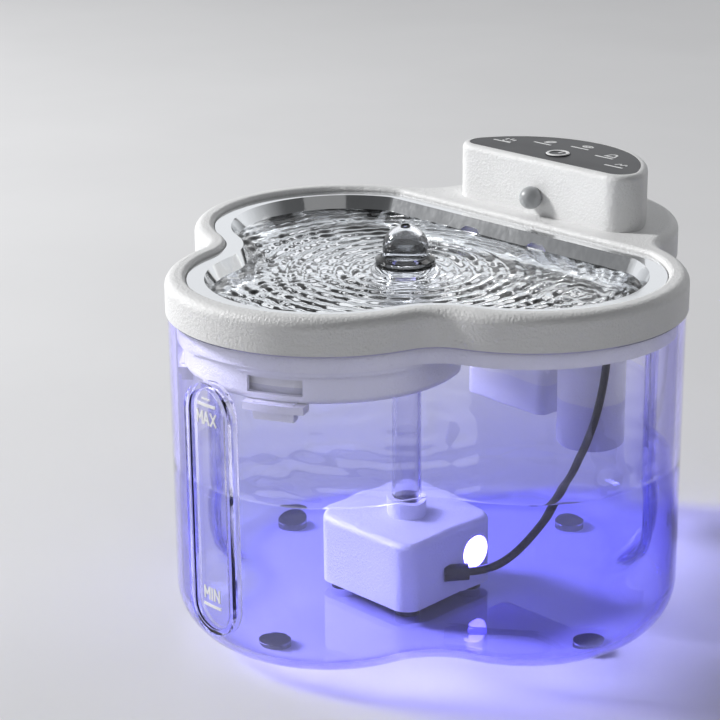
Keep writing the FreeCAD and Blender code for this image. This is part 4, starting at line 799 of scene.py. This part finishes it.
def rippleHeight(x, y, w):
    # a sum of round waves, each a decaying cosine of the distance from its own source, with the
    # distances slightly bent by two slow waves
    bend = (w["bend"][0] * np.sin(0.055 * x + 0.5) * np.sin(0.065 * y + 1.1)
            + w["bend"][1] * np.sin(0.17 * x - 0.12 * y))
    height = np.zeros_like(x)
    for cx, cy, pace, strength, reach in w["sources"]:
        far = np.hypot(x - cx, y - cy) + bend
        height += strength * np.cos(pace * far + cx) * np.exp(-far / reach)
    swell = w["height"] * height * (0.85 + 0.15 * np.sin(0.09 * x + 0.07 * y + 2.0))
    # over the dome: a flattened half ball up to its waist, then a fall that flares to the pool
    near = np.hypot(x - w["spout"][0], y - w["spout"][1])
    waist, foot, rise = w["skirt"]
    share = np.clip((near - waist) / (foot - waist), 0.0, 1.0)
    fall = rise * (1 - share) ** w["fallPower"]
    ball = np.sqrt(np.maximum(waist ** 2 - near ** 2, 0.0))
    cap = np.where(near < waist, w["cap"] * ball, 0.0)
    return swell * np.clip((near - foot) / 4.0, 0.15, 1.0) + fall + cap


def makeTrayWater(w):
    top, floor = levels["trayWater"], levels["trayFloor"] + w["floorLift"]
    hub = np.array(w["spout"])
    outer, lower = (bowlOutline(inset, w["around"]) for inset in (w["topInset"], w["lowInset"]))
    rows = []
    # floor from the spout out, then the sloping wall, then the top back to the spout
    for t in np.linspace(0.02, 1.0, w["floorRows"]):
        rows.append(levelRing(hub + (lower - hub) * t, floor))
    for t in np.linspace(0, 1, w["wallRows"])[1:]:
        rows.append(levelRing(lower + (outer - lower) * t, floor + (top - floor) * t))
    for t in np.linspace(1.0, 0.01, w["topRows"])[1:]:
        ring = hub + (outer - hub) * t
        edge = np.hypot(*(outer - ring).T)
        height = rippleHeight(*ring.T, w) * (1 - np.exp(-edge / w["calmEdge"]))
        meniscus = w["meniscus"] * np.exp(-edge / w["meniscusReach"])
        rows.append(np.column_stack([ring, top + height + meniscus]))
    liquidMesh("trayWater", rows, trayLiquid, "tray")


makeTrayWater(trayWater)
print("tray water done")


# stage: pale floor, soft lamps, pale surroundings
paleFloor = dict(half=6.0, low=(0.78, 0.78, 0.79), high=(0.81, 0.81, 0.82), cloud=6.0,
                 rough=0.8, gloss=0.1)


def makeFloor(f):
    h = f["half"]
    corners = np.array([[[-h, -h, 0], [h, -h, 0]], [[-h, h, 0], [h, h, 0]]], float)
    obj = gridMesh("floor", corners, smooth=False)
    mat, tree, shader, coords = newMaterial("floorPale")
    cloud = mapRange(tree, noiseNode(tree, coords, f["cloud"], 4.0), 0.3, 0.7, 0.0, 1.0)
    varyColour(tree, shader, cloud, f["low"], f["high"])
    shader.inputs["Roughness"].default_value = f["rough"]
    shader.inputs["Specular IOR Level"].default_value = f["gloss"]
    paint(mat, obj)


# a small key lamp from the left for the photograph's crisp shadows; place and size in metres,
# power in watts
studioLamps = dict(
    key=dict(place=(-1.7, -1.02, 1.25), size=0.4, power=57.0),
    fill=dict(place=(1.6, -0.6, 0.8), size=1.4, power=1.2),
    back=dict(place=(-0.2, 1.7, 1.3), size=1.1, power=5.0))
lampAim = (0, 0, 0.08)
surroundings = dict(colour=(0.95, 0.97, 1.0), light=0.14, low=1.0, high=0.3, heights=(0.25, 0.8),
                    toViewer=(0.69, -0.72, 0.0), viewerSide=0.15, sides=(-0.7, 0.25))


def makeLamp(name, lamp):
    data = bpy.data.lights.new(name, "AREA")
    data.energy = lamp["power"]
    data.size = lamp["size"]
    obj = bpy.data.objects.new(name, data)
    bpy.context.scene.collection.objects.link(obj)
    place = Vector(lamp["place"])
    turn = (Vector(lampAim) - place).to_track_quat("-Z", "Y")
    obj.matrix_world = Matrix.Translation(place) @ turn.to_matrix().to_4x4()


def makeWorld(w):
    # plain light for diffuse rays; the camera and glass see a pale backdrop, and gloss sees it
    # darken overhead and towards the viewer
    world = bpy.data.worlds.new("studio")
    bpy.context.scene.world = world
    world.use_nodes = True
    tree = world.node_tree
    back = tree.nodes["Background"]
    back.inputs["Color"].default_value = (*w["colour"], 1.0)
    path = tree.nodes.new("ShaderNodeLightPath").outputs
    around = tree.nodes.new("ShaderNodeTexCoord").outputs["Generated"]
    overhead = mapRange(tree, splitAxes(tree, around)["Z"], *w["heights"], w["low"], w["high"])
    front = vectorNode(tree, "DOT_PRODUCT", around, w["toViewer"]).outputs["Value"]
    side = mapRange(tree, front, *w["sides"], 1.0, w["viewerSide"])
    gloss = mathNode(tree, "MULTIPLY", overhead, side)
    direct = mathNode(tree, "MAXIMUM", path["Is Camera Ray"], path["Is Transmission Ray"])
    strength = mapRange(tree, path["Is Glossy Ray"], 0.0, 1.0, w["light"], gloss)
    wire(tree, mapRange(tree, direct, 0.0, 1.0, strength, w["low"]), back.inputs["Strength"])


makeFloor(paleFloor)
for name, values in studioLamps.items():
    makeLamp(name, values)
makeWorld(surroundings)
bpy.context.scene.view_settings.view_transform = "Standard"
print("stage done")
